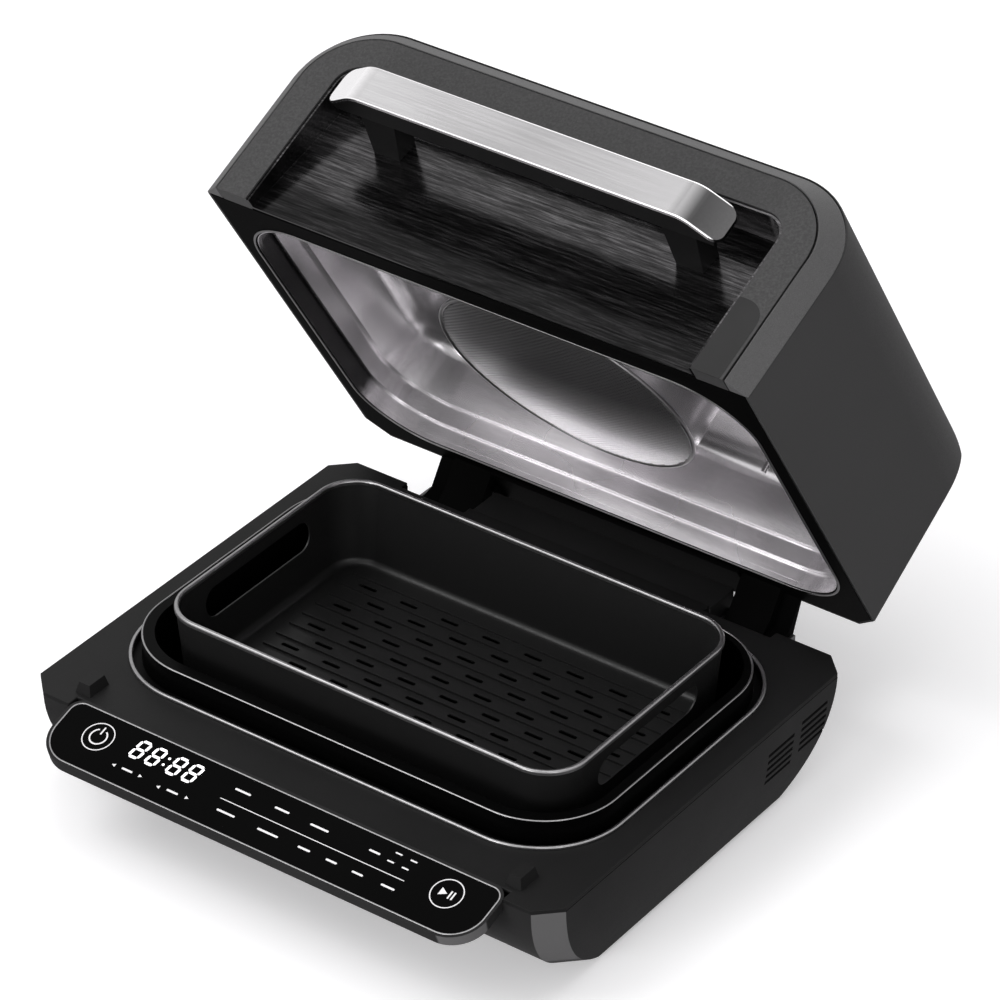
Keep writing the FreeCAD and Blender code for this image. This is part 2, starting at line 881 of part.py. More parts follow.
def power_board():
    """Power electronics on four legs that stand on the bottom plate."""
    body = new_body("power_board")
    floor = "bottom_thickness - base_height"
    half_length = "power_board_length / 2"
    half_width = "power_board_width / 2"
    board = new_sketch(body, "XY_Plane", "%s + power_board_rise" % floor)
    rectangle(board, "-" + half_length, half_length, "-" + half_width, half_width)
    pad(body, board, "board_thickness")
    legs = new_sketch(body, "XY_Plane", floor)
    for x_side, y_side in BOTTOM_CORNERS:
        left, right = sorted(("%d * (%s)" % (x_side, half_length),
                              "%d * (%s - power_leg)" % (x_side, half_length)), key=value)
        low, high = sorted(("%d * (%s)" % (y_side, half_width),
                            "%d * (%s - power_leg)" % (y_side, half_width)), key=value)
        rectangle(legs, left, right, low, high)
    pad(body, legs, "power_board_rise")
    parts = new_sketch(body, "XY_Plane", "%s + power_board_rise + board_thickness" % floor)
    rectangle(parts, "-power_board_length / 3", "-power_board_length / 8", "-power_board_width / 4",
              "power_board_width / 4")
    disc(parts, "power_board_length / 8", "0", "power_board_width / 7")
    disc(parts, "power_board_length / 3", "0", "power_board_width / 7")
    pad(body, parts, "power_part_height")
    keep("power_board", body)


# Hinge on the base

def hinge_brackets():
    """U-shaped bracket in the notch whose cheeks carry the pin."""
    body = new_body("hinge_bracket_right")
    inner = "notch_inner"
    outer = "(notch_outer - bracket_side_gap)"
    floor = "-notch_depth"
    top = "(%s + barrel_radius)" % HINGE_Z
    back = "(%s + barrel_radius)" % HINGE_Y
    sketch = new_sketch(body, "XZ_Plane", "-" + back)
    outline(sketch, [
        (inner, floor),
        (outer, floor),
        (outer, top),
        ("%s - bracket_thickness" % outer, top),
        ("%s - bracket_thickness" % outer, "%s + bracket_thickness" % floor),
        ("%s + bracket_thickness" % inner, "%s + bracket_thickness" % floor),
        ("%s + bracket_thickness" % inner, top),
        (inner, top),
    ])
    pad(body, sketch, "%s - %s" % (back, NOTCH_FRONT))
    hole = new_sketch(body, "YZ_Plane")
    disc(hole, HINGE_Y, HINGE_Z, "pin_radius + pin_fit")
    pocket(body, hole, "2 * notch_outer", both_ways=True)
    keep_pair("hinge_bracket", body)


def hinge_pins():
    body = new_body("hinge_pin_right")
    sketch = new_sketch(body, "YZ_Plane", "notch_inner")
    disc(sketch, HINGE_Y, HINGE_Z, "pin_radius")
    pad(body, sketch, "notch_outer - notch_inner - bracket_side_gap")
    keep_pair("hinge_pin", body)


def hinge_washers():
    """Friction washers between each arm and the cheeks of its bracket."""
    sides = (("inner", "notch_inner + bracket_thickness",
              "arm_inner - notch_inner - bracket_thickness - washer_gap"),
             ("outer", "arm_outer + washer_gap",
              "notch_outer - bracket_side_gap - bracket_thickness - arm_outer - washer_gap"))
    for name, start, thickness in sides:
        body = new_body("washer_%s_right" % name)
        sketch = new_sketch(body, "YZ_Plane", start)
        disc(sketch, HINGE_Y, HINGE_Z, "washer_radius")
        disc(sketch, HINGE_Y, HINGE_Z, "pin_radius + pin_fit")
        pad(body, sketch, thickness)
        keep_pair("washer_%s" % name, body)


def housing_profile(sketch, inset, front):
    """Side view of the rear housing, drawn in by an inset: flat top, upright back, sloping underside."""
    back = "(base_depth / 2 + rear_housing_reach - %s)" % inset
    top = "(-deck_thickness - %s)" % inset
    low = "(-rear_housing_drop + %s)" % inset
    outline(sketch, [
        (front, low),
        ("%s - rear_housing_slope" % back, low),
        (back, "%s + rear_housing_slope" % low),
        (back, top),
        (front, top),
    ])


def rear_housing(tub_solid):
    """Box behind the deck between the hinge arms."""
    body = new_body("rear_box")
    sketch = new_sketch(body, "YZ_Plane")
    housing_profile(sketch, "0", "base_depth / 4")
    pad(body, sketch, "2 * notch_inner", both_ways=True)
    room = new_sketch(body, "YZ_Plane")
    housing_profile(room, "base_wall", "base_depth / 4 - overrun")
    pocket(body, room, "2 * (notch_inner - base_wall)", both_ways=True)
    port = new_sketch(body, "XZ_Plane", "-base_depth / 2 - rear_housing_reach")
    rectangle(port, *inlet_window("inlet_fit"))
    pocket(body, port, "base_wall + overrun", flip=True)
    keep("rear_housing", cut("rear_housing", body, tub_solid))


def inlet_window(grow):
    left = "inlet_offset - inlet_width / 2"
    low = "-inlet_drop - inlet_height / 2"
    return ("%s - (%s)" % (left, grow), "%s + inlet_width + %s" % (left, grow),
            "%s - (%s)" % (low, grow), "%s + inlet_height + %s" % (low, grow))


def mains_inlet():
    """Appliance inlet: rim outside the housing, socket with three blades."""
    body = new_body("mains_inlet")
    face = "-base_depth / 2 - rear_housing_reach"
    rim = new_sketch(body, "XZ_Plane", face)
    rectangle(rim, *inlet_window("inlet_rim"))
    pad(body, rim, "inlet_rim_thickness", flip=True)
    case = new_sketch(body, "XZ_Plane", face)
    rectangle(case, *inlet_window("0"))
    pad(body, case, "inlet_depth")
    socket = new_sketch(body, "XZ_Plane", face + " - inlet_rim_thickness")
    rectangle(socket, *inlet_window("-inlet_wall"))
    pocket(body, socket, "inlet_depth + inlet_rim_thickness - inlet_floor", flip=True)
    blades = new_sketch(body, "XZ_Plane", face + " + inlet_depth - inlet_floor")
    for step, rise in ((-1, -1), (0, 1), (1, -1)):
        middle = "(inlet_offset + %d * inlet_pin_pitch)" % step
        low = "(-inlet_drop + %d * inlet_pin_rise - inlet_pin_width / 2)" % rise
        rectangle(blades, "%s - inlet_pin_thickness / 2" % middle, "%s + inlet_pin_thickness / 2" % middle,
                  low, "%s + inlet_pin_width" % low)
    pad(body, blades, "inlet_pin_length", flip=True)
    keep("mains_inlet", body)


# Cooking pot and basket

def pot_outline(inset):
    return ("-pot_half_width + %s" % inset, "pot_half_width - (%s)" % inset, "-pot_front + %s" % inset,
            "pot_back - (%s)" % inset, "(pot_corner - (%s))" % inset)


def bowl_outline(grow):
    return ("-pot_half_width + lip_side_band - %s" % grow, "pot_half_width - lip_side_band + %s" % grow,
            "-pot_front + lip_front_band - %s" % grow, "pot_back - lip_back_band + %s" % grow,
            "(bowl_corner + %s)" % grow)


def cooking_pot():
    """Drawn bowl with a flat lip whose skirt stands on the ledge of the well."""
    body = new_body("pot_form")
    foot_height = "(seat_clearance - deck_thickness)"
    lip = new_sketch(body, "XY_Plane", "lip_height")
    rounded(lip, *pot_outline("0"))
    pad(body, lip, "lip_height - %s" % foot_height, flip=True)
    under = new_sketch(body, "XY_Plane", "lip_height - pot_wall")
    rounded(under, *pot_outline("pot_wall"))
    pocket(body, under, "lip_height - pot_wall - %s" % foot_height)
    bowl = new_sketch(body, "XY_Plane", "lip_height")
    rounded(bowl, *bowl_outline("pot_wall"))
    outside = pad(body, bowl, "lip_height + pot_depth", draft="-pot_draft", flip=True)
    round_edges(body, outside, "pot_floor_round + pot_wall", at_height("-pot_depth"))
    room = new_body("pot_room")
    inside_sketch = new_sketch(room, "XY_Plane", "lip_height")
    rounded(inside_sketch, *bowl_outline("0"))
    inside = pad(room, inside_sketch, "lip_height + pot_depth - pot_wall", draft="-pot_draft", flip=True)
    round_edges(room, inside, "pot_floor_round", at_height("pot_wall - pot_depth"))
    keep("cooking_pot", cut("cooking_pot", body, room))


def basket_outline(grow):
    return ("-basket_half_width - (%s)" % grow, "basket_half_width + %s" % grow,
            "-basket_front - (%s)" % grow, "basket_back + %s" % grow, "(basket_corner + %s)" % grow)


BASKET_MIDDLE = "((basket_back - basket_front) / 2)"


def basket_floor_slots(body):
    """Two staggered sets of short slots through the floor."""
    for shift in (0, 1):
        sketch = new_sketch(body, "XY_Plane", "-basket_floor")
        left = "(-floor_slot_pitch * %d / 2 + floor_slot_pitch * %d / 2)" % (FLOOR_SLOT_COLUMNS, shift)
        for row in range(shift, FLOOR_ROWS, 2):
            low = "(%s + (%d - %d / 2) * floor_row_pitch - floor_slot_width / 2)" % (
                BASKET_MIDDLE, row, FLOOR_ROWS - 1)
            start = "%s + (floor_slot_pitch - floor_slot_length) / 2" % left
            rounded(sketch, start, "%s + floor_slot_length" % start, low, "%s + floor_slot_width" % low,
                    "(floor_slot_width * %s)" % SLOT_END_SHARE)
        slots = pad(body, sketch, "2 * overrun", both_ways=True)
        columns = FLOOR_SLOT_COLUMNS - shift
        repeat_line(body, slots, (sketch, ["H_Axis"]), "floor_slot_pitch * %d" % (columns - 1), columns)


def basket_cutter():
    """Finger slots through both side walls and the slots of the floor."""
    body = new_body("finger_cutter")
    finger = new_sketch(body, "YZ_Plane")
    start = "(%s - finger_slot_length / 2)" % BASKET_MIDDLE
    rounded(finger, start, "%s + finger_slot_length" % start, "finger_slot_low",
            "(finger_slot_low + finger_slot_height)", "(finger_slot_height * %s)" % SLOT_END_SHARE)
    pad(body, finger, "2 * (basket_half_width + overrun)", both_ways=True)
    floor = new_body("floor_cutter")
    basket_floor_slots(floor)
    return body, floor


def basket_floor_ribs(body):
    """Grill ribs along the floor between the rows of slots."""
    sketch = new_sketch(body, "XY_Plane", "-basket_floor - basket_wall / 2")
    half = "(floor_slot_pitch * %d / 2)" % FLOOR_SLOT_COLUMNS
    low = "(%s - %d / 2 * floor_row_pitch - floor_rib_width / 2)" % (BASKET_MIDDLE, FLOOR_ROWS)
    rectangle(sketch, "-" + half, half, low, "%s + floor_rib_width" % low)
    rib = pad(body, sketch, "floor_rib_height + basket_wall / 2")
    repeat_line(body, rib, (sketch, ["V_Axis"]), "floor_row_pitch * %d" % FLOOR_ROWS, FLOOR_ROWS + 1)


def basket_feet(body):
    """Feet under the floor that stand on the floor of the pot."""
    sketch = new_sketch(body, "XY_Plane", "-basket_floor - basket_wall / 2")
    for side, end in BOTTOM_CORNERS:
        disc(sketch, "%d * (basket_half_width - basket_corner)" % side,
             "%s + %d * ((basket_back + basket_front) / 2 - basket_corner)" % (BASKET_MIDDLE, end),
             "basket_foot_radius")
    pad(body, sketch, "pot_depth - pot_wall - seat_clearance - basket_floor - basket_wall / 2", flip=True)


def basket_form(label, grow, depth, radius):
    """Drafted block with a round floor edge, hung from the underside of the rim."""
    body = new_body(label)
    sketch = new_sketch(body, "XY_Plane", "basket_rim_height - rim_round")
    rounded(sketch, *basket_outline(grow))
    height = "basket_rim_height - rim_round + %s" % depth
    block = pad(body, sketch, height, draft="-basket_draft", flip=True)
    round_edges(body, block, radius, at_height("-(%s)" % depth))
    return body


def basket_rim():
    """Bright ring that is rolled over the edge of the walls."""
    body = new_body("basket_rim")
    sketch = new_sketch(body, "XY_Plane", "basket_rim_height - rim_round")
    rounded(sketch, *basket_outline("rim_round"))
    rounded(sketch, *basket_outline("-rim_round"))
    roll = pad(body, sketch, "2 * rim_round")
    round_edges(body, roll, "rim_round * %s" % RIM_ROUND_SHARE, at_height("basket_rim_height + rim_round"))
    keep("basket_rim", body)


def fry_basket():
    """Drafted basket with finger slots and a slotted, ribbed floor."""
    outer = basket_form("basket_outside", "basket_wall / 2", "basket_floor + basket_wall",
                        "basket_floor_round + basket_wall")
    inner = basket_form("basket_inside", "-basket_wall / 2", "basket_floor", "basket_floor_round")
    feet = new_body("basket_feet")
    basket_feet(feet)
    ribs = new_body("basket_ribs")
    basket_floor_ribs(ribs)
    whole = fuse("basket_whole", cut("basket_walls", outer, inner), feet, ribs)
    keep("fry_basket", cut("fry_basket", whole, *basket_cutter()))


# Lid shell, drawn closed from the middle of its lower back edge

def lid_block(label, inset, reach):
    """Outer form of the shell drawn in by an inset and run past its open sides by a reach."""
    side = new_body(label + "_side")
    profile = new_sketch(side, "YZ_Plane")
    top = "(lid_height - %s)" % inset
    front = "(-lid_front + fascia_depth / cos(%s) - %s)" % (sheet_angle("lid_lean"), reach)
    lean = "tan(%s)" % sheet_angle("lid_lean")
    draft = "tan(%s)" % sheet_angle("lid_back_draft")
    outline(profile, [
        ("%s - %s * %s" % (front, reach, lean), "-" + reach),
        ("-%s + %s * %s" % (inset, reach, draft), "-" + reach),
        ("-%s - %s * %s" % (inset, top, draft), top),
        ("%s + %s * %s" % (front, top, lean), top),
    ])
    slab = pad(side, profile, "lid_width + overrun", both_ways=True)
    ridge = Vector(0, value("-%s - %s * %s" % (inset, top, draft)), value(top))
    round_edges(side, slab, "lid_back_round - %s" % inset,
                lambda edge: edge.CenterOfMass.distanceToPoint(ridge) < NEAR)
    bow = new_body(label + "_arch")
    section = new_sketch(bow, "XZ_Plane", "-overrun")
    arch(section, "(lid_width / 2 - %s)" % inset, "-(%s)" % reach, top, "(lid_arch - %s)" % inset)
    pad(bow, section, "lid_front + 2 * overrun")
    plan = new_body(label + "_plan")
    outline_sketch = new_sketch(plan, "XY_Plane", "-%s" % reach)
    half = "(lid_width / 2 - %s)" % inset
    corner = "(lid_back_corner - %s * (2 - sqrt(2)))" % inset
    outline(outline_sketch, [
        ("-" + half, "-lid_front - overrun"),
        (half, "-lid_front - overrun"),
        (half, "-%s - %s" % (inset, corner)),
        ("%s - %s" % (half, corner), "-%s" % inset),
        ("-%s + %s" % (half, corner), "-%s" % inset),
        ("-" + half, "-%s - %s" % (inset, corner)),
    ])
    pad(plan, outline_sketch, "lid_height + overrun")
    return common(label, side, bow, plan)


def lid_shell():
    outer = lid_block("lid_outer", "0", "0")
    inner = lid_block("lid_inner", "lid_wall", "overrun")
    slots = new_body("exhaust_cutter")
    sketch = new_sketch(slots, "XZ_Plane", "-overrun")
    for row in range(EXHAUST_ROWS):
        low = "(exhaust_low + %d * exhaust_pitch)" % row
        for side in (-1, 1):
            near = "%d * exhaust_width * %s" % (side, EXHAUST_INNER_SHARE)
            far = "(%s + %d * exhaust_width)" % (near, side)
            left, right = sorted((near, far), key=value)
            rectangle(sketch, left, right, low, "%s + exhaust_height" % low)
    pad(slots, sketch, "lid_wall + 4 * overrun")
    keep("lid_shell", cut("lid_shell", outer, inner, slots), lid_placement())


# Fascia, strip, recessed panel and handle, drawn in the frame of the fascia

def floor_trimmed(label, body):
    """Cut a leaning piece off level with the underside of the lid."""
    body.Placement = fascia_placement()
    below = box(label + "_below", "-lid_width", "lid_width", "-2 * lid_front", "lid_front",
                "-lid_height", "0")
    return cut(label, body, below)


def fascia():
    body = new_body("fascia_frame")
    face = new_sketch(body, "XZ_Plane")
    arch(face, "fascia_half_width", "-frame_sink", "fascia_top", "fascia_corner")
    pad(body, face, "fascia_depth", flip=True)
    window = new_sketch(body, "XZ_Plane")
    arch(window, "opening_half_width", "-frame_sink - overrun", "opening_top", "opening_corner")
    pocket(body, window, "fascia_depth")
    recess = new_sketch(body, "XZ_Plane")
    inlay_outline(recess)
    pocket(body, recess, "inlay_depth")
    keep("fascia", floor_trimmed("fascia", body), lid_placement())


def inlay_outline(sketch):
    right = "(fascia_half_width - inlay_margin)"
    outline(sketch, [
        ("opening_half_width", "-frame_sink - overrun"),
        (right, "-frame_sink - overrun"),
        (right, "inlay_height - inlay_corner", "inlay_corner"),
        ("%s - inlay_corner" % right, "inlay_height"),
        ("opening_half_width", "inlay_height"),
    ])


def fascia_inlay():
    """Smooth plate let into the right leg of the fascia."""
    body = new_body("inlay_plate")
    sketch = new_sketch(body, "XZ_Plane")
    inlay_outline(sketch)
    pad(body, sketch, "inlay_depth", flip=True)
    keep("fascia_inlay", floor_trimmed("fascia_inlay", body), lid_placement())


def trim_strip():
    """Arched strip that widens from the fascia to the shell."""
    body = new_body("strip_arch")
    front = new_sketch(body, "XZ_Plane", "-strip_setback")
    edge = "(seam + strip_edge)"
    arch(front, "(fascia_half_width + %s)" % edge, "-frame_sink", "(fascia_top + %s)" % edge,
         "(fascia_corner + %s)" % edge)
    back = new_sketch(body, "XZ_Plane", "-fascia_depth")
    arch(back, "(lid_width / 2)", "-frame_sink", "strip_top", "lid_arch")
    loft(body, [front, back])
    inside = new_sketch(body, "XZ_Plane")
    arch(inside, "(fascia_half_width + seam)", "-frame_sink - overrun", "(fascia_top + seam)",
         "(fascia_corner + seam)")
    pocket(body, inside, "fascia_depth + overrun")
    keep("trim_strip", floor_trimmed("trim_strip", body), lid_placement())


def tray_depth(height):
    """Depth of the recessed panel behind the fascia at a height."""
    return "(panel_foot_depth + (%s) / opening_top * (panel_head_depth - panel_foot_depth))" % height


def behind_panel(label, extra):
    """Everything behind the recessed panel's face, set back by an extra depth."""
    body = new_body(label)
    sketch = new_sketch(body, "YZ_Plane")
    low = "(-frame_sink - overrun)"
    high = "(opening_top + overrun)"
    outline(sketch, [
        ("%s + %s" % (tray_depth(low), extra), low),
        ("lid_front / 2", low),
        ("lid_front / 2", high),
        ("%s + %s" % (tray_depth(high), extra), high),
    ])
    pad(body, sketch, "lid_width", both_ways=True)
    return body


def tray_block(label, inset, setback, behind):
    body = new_body(label)
    sketch = new_sketch(body, "XZ_Plane", "-(%s)" % setback)
    arch(sketch, "(opening_half_width - (%s))" % inset, "-frame_sink", "(opening_top - (%s))" % inset,
         "(opening_corner - (%s))" % inset)
    pad(body, sketch, "3 * panel_head_depth", flip=True)
    return cut(label + "_cut", body, behind)


def screw_drill(label, radius, start, length):
    """Round bar along the screw through panel and post, right side."""
    body = new_body(label)
    sketch = new_sketch(body, "XZ_Plane", "-(%s)" % start)
    disc(sketch, "handle_screw_side", "handle_screw_up", radius)
    pad(body, sketch, length)
    return body


SCREW_SEAT = "(%s + tray_wall + handle_screw_head * (panel_head_depth - panel_foot_depth) / opening_top)" % (
    tray_depth("handle_screw_up"))


def recess_panel():
    """Brushed panel with its side walls and ceiling, set back inside the fascia."""
    outer = tray_block("tray_outer", "tray_fit", "tray_setback", behind_panel("behind_back", "tray_wall"))
    inner = tray_block("tray_inner", "tray_fit + tray_wall", "-overrun", behind_panel("behind_face", "0"))
    drill = screw_drill("panel_drill", "handle_screw_radius + screw_fit", SCREW_SEAT,
                        "handle_screw_shank + panel_head_depth")
    tray = cut("tray", outer, inner, drill, mirrored("panel_drill_left", drill))
    keep("recess_panel", floor_trimmed("recess_panel", tray), lid_placement())


def handle_placement():
    return lid_placement() * fascia_placement()


def handle_block(label, inset, end_inset, back, low, high):
    """Block whose front follows the handle: straight, with a round bend back towards either end.

    The front is drawn in by an inset, and the ends by one of their own.
    """
    run = "(handle_half_width - handle_straight)"
    rise = "(handle_reach - handle_end_reach)"
    slant = "sqrt(%s ^ 2 + %s ^ 2)" % (run, rise)
    radius = "(handle_bend * (%s + %s) / %s - (%s))" % (slant, run, rise, inset)
    bend_side = "(handle_straight + (handle_bend * %s - (%s) * %s) / %s)" % (run, inset, rise, slant)
    bend_front = "(handle_reach - (handle_bend * %s + (%s) * %s) / %s)" % (rise, inset, run, slant)
    straight = "(handle_straight - handle_bend)"
    front = "(-handle_reach + %s)" % inset
    side = "(handle_half_width - (%s))" % end_inset
    tip = "(-handle_end_reach + ((%s) * %s - (%s) * %s) / %s)" % (inset, slant, end_inset, rise, run)
    body = new_body(label)
    sketch = new_sketch(body, "XY_Plane", low)
    outline(sketch, [
        ("-" + side, tip),
        ("-" + bend_side, "-" + bend_front, radius),
        ("-" + straight, front),
        (straight, front, radius),
        (bend_side, "-" + bend_front),
        (side, tip),
        (side, back),
        ("-" + side, back),
    ])
    pad(body, sketch, "%s - (%s)" % (high, low))
    return body


def handle_bar():
    """Brushed plate across the front with its ends bent back."""
    outside = handle_block("handle_outside", "0", "0", "-core_back_reach", "handle_low", "handle_high")
    inside = handle_block("handle_inside", "handle_plate", "-overrun", "-core_back_reach + overrun",
                          "handle_low - overrun", "handle_high + overrun")
    front = new_body("handle_front")
    view = new_sketch(front, "XZ_Plane", "-overrun")
    rounded(view, "-handle_half_width", "handle_half_width", "handle_low", "handle_high",
            "handle_tip_round")
    pad(front, view, "handle_reach + 2 * overrun")
    keep("handle_bar", common("handle_bar", cut("handle_plate", outside, inside), front), handle_placement())


def handle_core():
    """Dark backing inside the bent plate."""
    body = handle_block("handle_core", "handle_plate", "core_end_inset", "-core_back_reach",
                        "handle_low + core_inset", "handle_high - core_inset")
    keep("handle_core", body, handle_placement())


def handle_posts():
    """Flared posts between the backing and the recessed panel, with a blind screw hole."""
    body = new_body("post_form")
    start = new_sketch(body, "XZ_Plane", "core_back_reach")
    rectangle(start, "post_inner", "post_outer", "post_low", "post_high")
    end = new_sketch(body, "XZ_Plane", "-(post_foot_depth + overrun)")
    rectangle(end, "post_foot_inner", "post_foot_outer", "post_foot_low", "post_foot_high")
    loft(body, [start, end])
    hole = screw_drill("post_drill", "handle_screw_radius + screw_fit", SCREW_SEAT,
                       "handle_screw_shank + screw_fit + tray_wall")
    post = cut("handle_post_right", body, behind_panel("behind_posts", "0"), hole)
    keep_pair("handle_post", post, handle_placement())


def handle_screws():
    body = screw_drill("handle_screw_right", "handle_screw_radius", SCREW_SEAT,
                       "handle_screw_shank + tray_wall")
    head = new_sketch(body, "XZ_Plane", "-(%s)" % SCREW_SEAT)
    disc(head, "handle_screw_side", "handle_screw_up", "handle_screw_head")
    pad(body, head, "handle_screw_head_height", flip=True)
    keep_pair("handle_screw", body, handle_placement())


# Inside of the lid

def mouth_outline(grow):
    return ("-mouth_half_width - (%s)" % grow, "mouth_half_width + %s" % grow, "-mouth_front - (%s)" % grow,
            "-mouth_back + %s" % grow, "(mouth_corner + %s)" % grow)


def lid_frame():
    """Black frame that closes the underside of the lid round its mouth."""
    body = new_body("lid_frame")
    sketch = new_sketch(body, "XY_Plane")
    half = "(lid_width / 2 - lid_wall)"
    back = "(-lid_wall - frame_thickness * tan(%s))" % sheet_angle("lid_back_draft")
    corner = "(lid_back_corner - lid_wall * (2 - sqrt(2)))"
    front = "(-lid_front + fascia_depth / cos(%s) + frame_thickness * tan(%s) + tray_fit)" % (
        sheet_angle("lid_lean"), sheet_angle("lid_lean"))
    outline(sketch, [
        ("-" + half, front),
        (half, front),
        (half, "%s - %s" % (back, corner)),
        ("%s - %s" % (half, corner), back),
        ("-%s + %s" % (half, corner), back),
        ("-" + half, "%s - %s" % (back, corner)),
    ])
    rounded(sketch, *mouth_outline("0"))
    pad(body, sketch, "frame_thickness")
    keep("lid_frame", body, lid_placement())


def mouth_gasket():
    body = new_body("mouth_gasket")
    sketch = new_sketch(body, "XY_Plane")
    rounded(sketch, *mouth_outline("gasket_inset + gasket_band"))
    rounded(sketch, *mouth_outline("gasket_inset"))
    pad(body, sketch, "gasket_height", flip=True)
    keep("mouth_gasket", body, lid_placement())


def liner_form(label, grow):
    """The three stages of the liner as a solid, grown by the wall for the outside."""
    body = new_body(label)
    stages = (("frame_thickness", "liner_first", "0", None),
              ("liner_first", "liner_second", "liner_step", None),
              ("liner_second", "liner_height", "2 * liner_step", "-liner_draft"))
    for low, high, step, draft in stages:
        sketch = new_sketch(body, "XY_Plane", low)
        rounded(sketch, *mouth_outline("%s - %s" % (grow, step)))
        last = pad(body, sketch, "%s - %s + %s" % (high, low, grow), draft=draft)
    round_edges(body, last, "liner_round + %s" % grow, at_height("liner_height + %s" % grow))
    return body


def ceiling_cutter():
    """Openings in the liner's ceiling for the shaft, the heater leads and the probe."""
    body = new_body("ceiling_cutter")
    sketch = new_sketch(body, "XY_Plane", "liner_height - overrun")
    disc(sketch, "0", "-fan_back", "shaft_radius + shaft_hole_gap")
    for side in (-1, 1):
        disc(sketch, *lead_place(side, "-fan_back"), "heater_lead + heater_hole_gap")
    disc(sketch, "probe_side", "-probe_back", "probe_radius + heater_hole_gap")
    pad(body, sketch, "liner_wall + 2 * overrun")
    return body


def cavity_liner():
    """Polished liner: flange on the frame, two ledges and a drafted dome with a round ceiling edge."""
    flange_body = new_body("liner_flange_plate")
    flange = new_sketch(flange_body, "XY_Plane", "frame_thickness")
    rounded(flange, *mouth_outline("liner_flange"))
    pad(flange_body, flange, "liner_wall")
    outside = fuse("liner_outside", flange_body, liner_form("liner_outer_form", "liner_wall"))
    liner = cut("cavity_liner", outside, liner_form("liner_inner_form", "0"), ceiling_cutter())
    keep("cavity_liner", liner, lid_placement())


def lead_place(side, shift):
    """Where a heater lead leaves the ring."""
    angle = sheet_angle("heater_lead_angle")
    return "%d * heater_radius * sin(%s)" % (side, angle), "heater_radius * cos(%s) + (%s)" % (angle, shift)


def ring_profile(sketch, radius, low, width, height):
    """Rectangle beside the axis, for a revolved ring."""
    rectangle(sketch, "(%s) - (%s)" % (radius, width), radius, low, "%s + %s" % (low, height))


def fan_collar():
    body = new_body("fan_collar")
    sketch = new_sketch(body, "XZ_Plane")
    ring_profile(sketch, "guard_radius - guard_rim / 2", "(guard_low + guard_rim)", "collar_wall",
                 "liner_height - guard_low - guard_rim")
    revolve(body, sketch)
    keep("fan_collar", body, lid_placement() * fan_placement())


def fan_guard():
    """Round guard: a rim and a perforated face that bulges downwards."""
    body = new_body("fan_guard")
    edge = "(guard_radius - guard_rim)"
    curve = "((%s ^ 2 + guard_dome ^ 2) / (2 * guard_dome))" % edge
    sketch = new_sketch(body, "XZ_Plane")
    low = "(guard_low + guard_rim / 2)"
    outline(sketch, [
        ("0", "%s - guard_dome" % low, curve),
        (edge, low),
        (edge, "guard_low"),
        ("guard_radius", "guard_low"),
        ("guard_radius", "guard_low + guard_rim"),
        (edge, "guard_low + guard_rim"),
        (edge, "%s + guard_sheet" % low),
        ("0", "%s + guard_sheet" % low),
    ])
    revolve(body, sketch)
    hollow = new_sketch(body, "XZ_Plane")
    outline(hollow, [
        ("0", "%s - guard_dome + guard_sheet" % low, curve),
        (edge, "%s + guard_sheet" % low),
        ("0", "%s + guard_sheet" % low),
    ])
    revolve(body, hollow, "Groove")
    for ring in range(1, GUARD_RINGS + 1):
        hole = new_sketch(body, "XY_Plane", "guard_low + guard_rim")
        disc(hole, "%d * guard_ring_pitch" % ring, "0", "guard_hole")
        cutter = pocket(body, hole, "guard_rim + guard_dome + overrun")
        repeat_turn(body, cutter, hole, ring * GUARD_HOLES_IN_FIRST_RING)
    keep("fan_guard", body, lid_placement() * fan_placement())


def heater_coil():
    """Ring heater round the fan with two leads up through the ceiling."""
    ring = document.addObject("Part::Torus", "heater_ring")
    ring.setExpression("Radius1", bound("heater_radius"))
    ring.setExpression("Radius2", bound("heater_tube"))
    ring.Placement = Placement(Vector(0, 0, value("heater_up")), Rotation())
    leads = new_body("heater_leads")
    sketch = new_sketch(leads, "XY_Plane", "heater_up")
    for side in (-1, 1):
        disc(sketch, *lead_place(side, "0"), "heater_lead")
    pad(leads, sketch, "heater_lead_top - heater_up")
    keep("heater_coil", fuse("heater_coil", ring, leads), lid_placement() * fan_placement())


def bladed_wheel(label, radius, hub, low, height, disc_low, blades):
    """Wheel with a hub on the shaft, a disc and radial blades."""
    body = new_body(label)
    core = new_sketch(body, "XY_Plane", low)
    disc(core, "0", "0", hub)
    pad(body, core, height)
    plate = new_sketch(body, "XY_Plane", disc_low)
    disc(plate, "0", "0", radius)
    pad(body, plate, "impeller_disc")
    vane = new_sketch(body, "XY_Plane", low)
    rectangle(vane, "%s - blade_thickness" % hub, "%s - blade_thickness" % radius, "-blade_thickness / 2",
              "blade_thickness / 2")
    blade = pad(body, vane, height)
    repeat_turn(body, blade, vane, blades)
    bore = new_sketch(body, "XY_Plane", low)
    disc(bore, "0", "0", "shaft_radius + pin_fit")
    pocket(body, bore, height, flip=True)
    return keep(label, body, lid_placement() * fan_placement())


def fan_wheels():
    bladed_wheel("fan_impeller", "impeller_radius", "impeller_hub", "impeller_low", "impeller_height",
                 "impeller_low + impeller_height - impeller_disc", IMPELLER_BLADES)
    bladed_wheel("cooling_fan", "cooling_radius", "impeller_hub", "cooling_low", "cooling_height",
                 "cooling_low", COOLING_BLADES)


def fan_shaft():
    body = new_body("fan_shaft")
    sketch = new_sketch(body, "XY_Plane", "shaft_low")
    disc(sketch, "0", "0", "shaft_radius")
    pad(body, sketch, "shaft_high - shaft_low")
    keep("fan_shaft", body, lid_placement() * fan_placement())


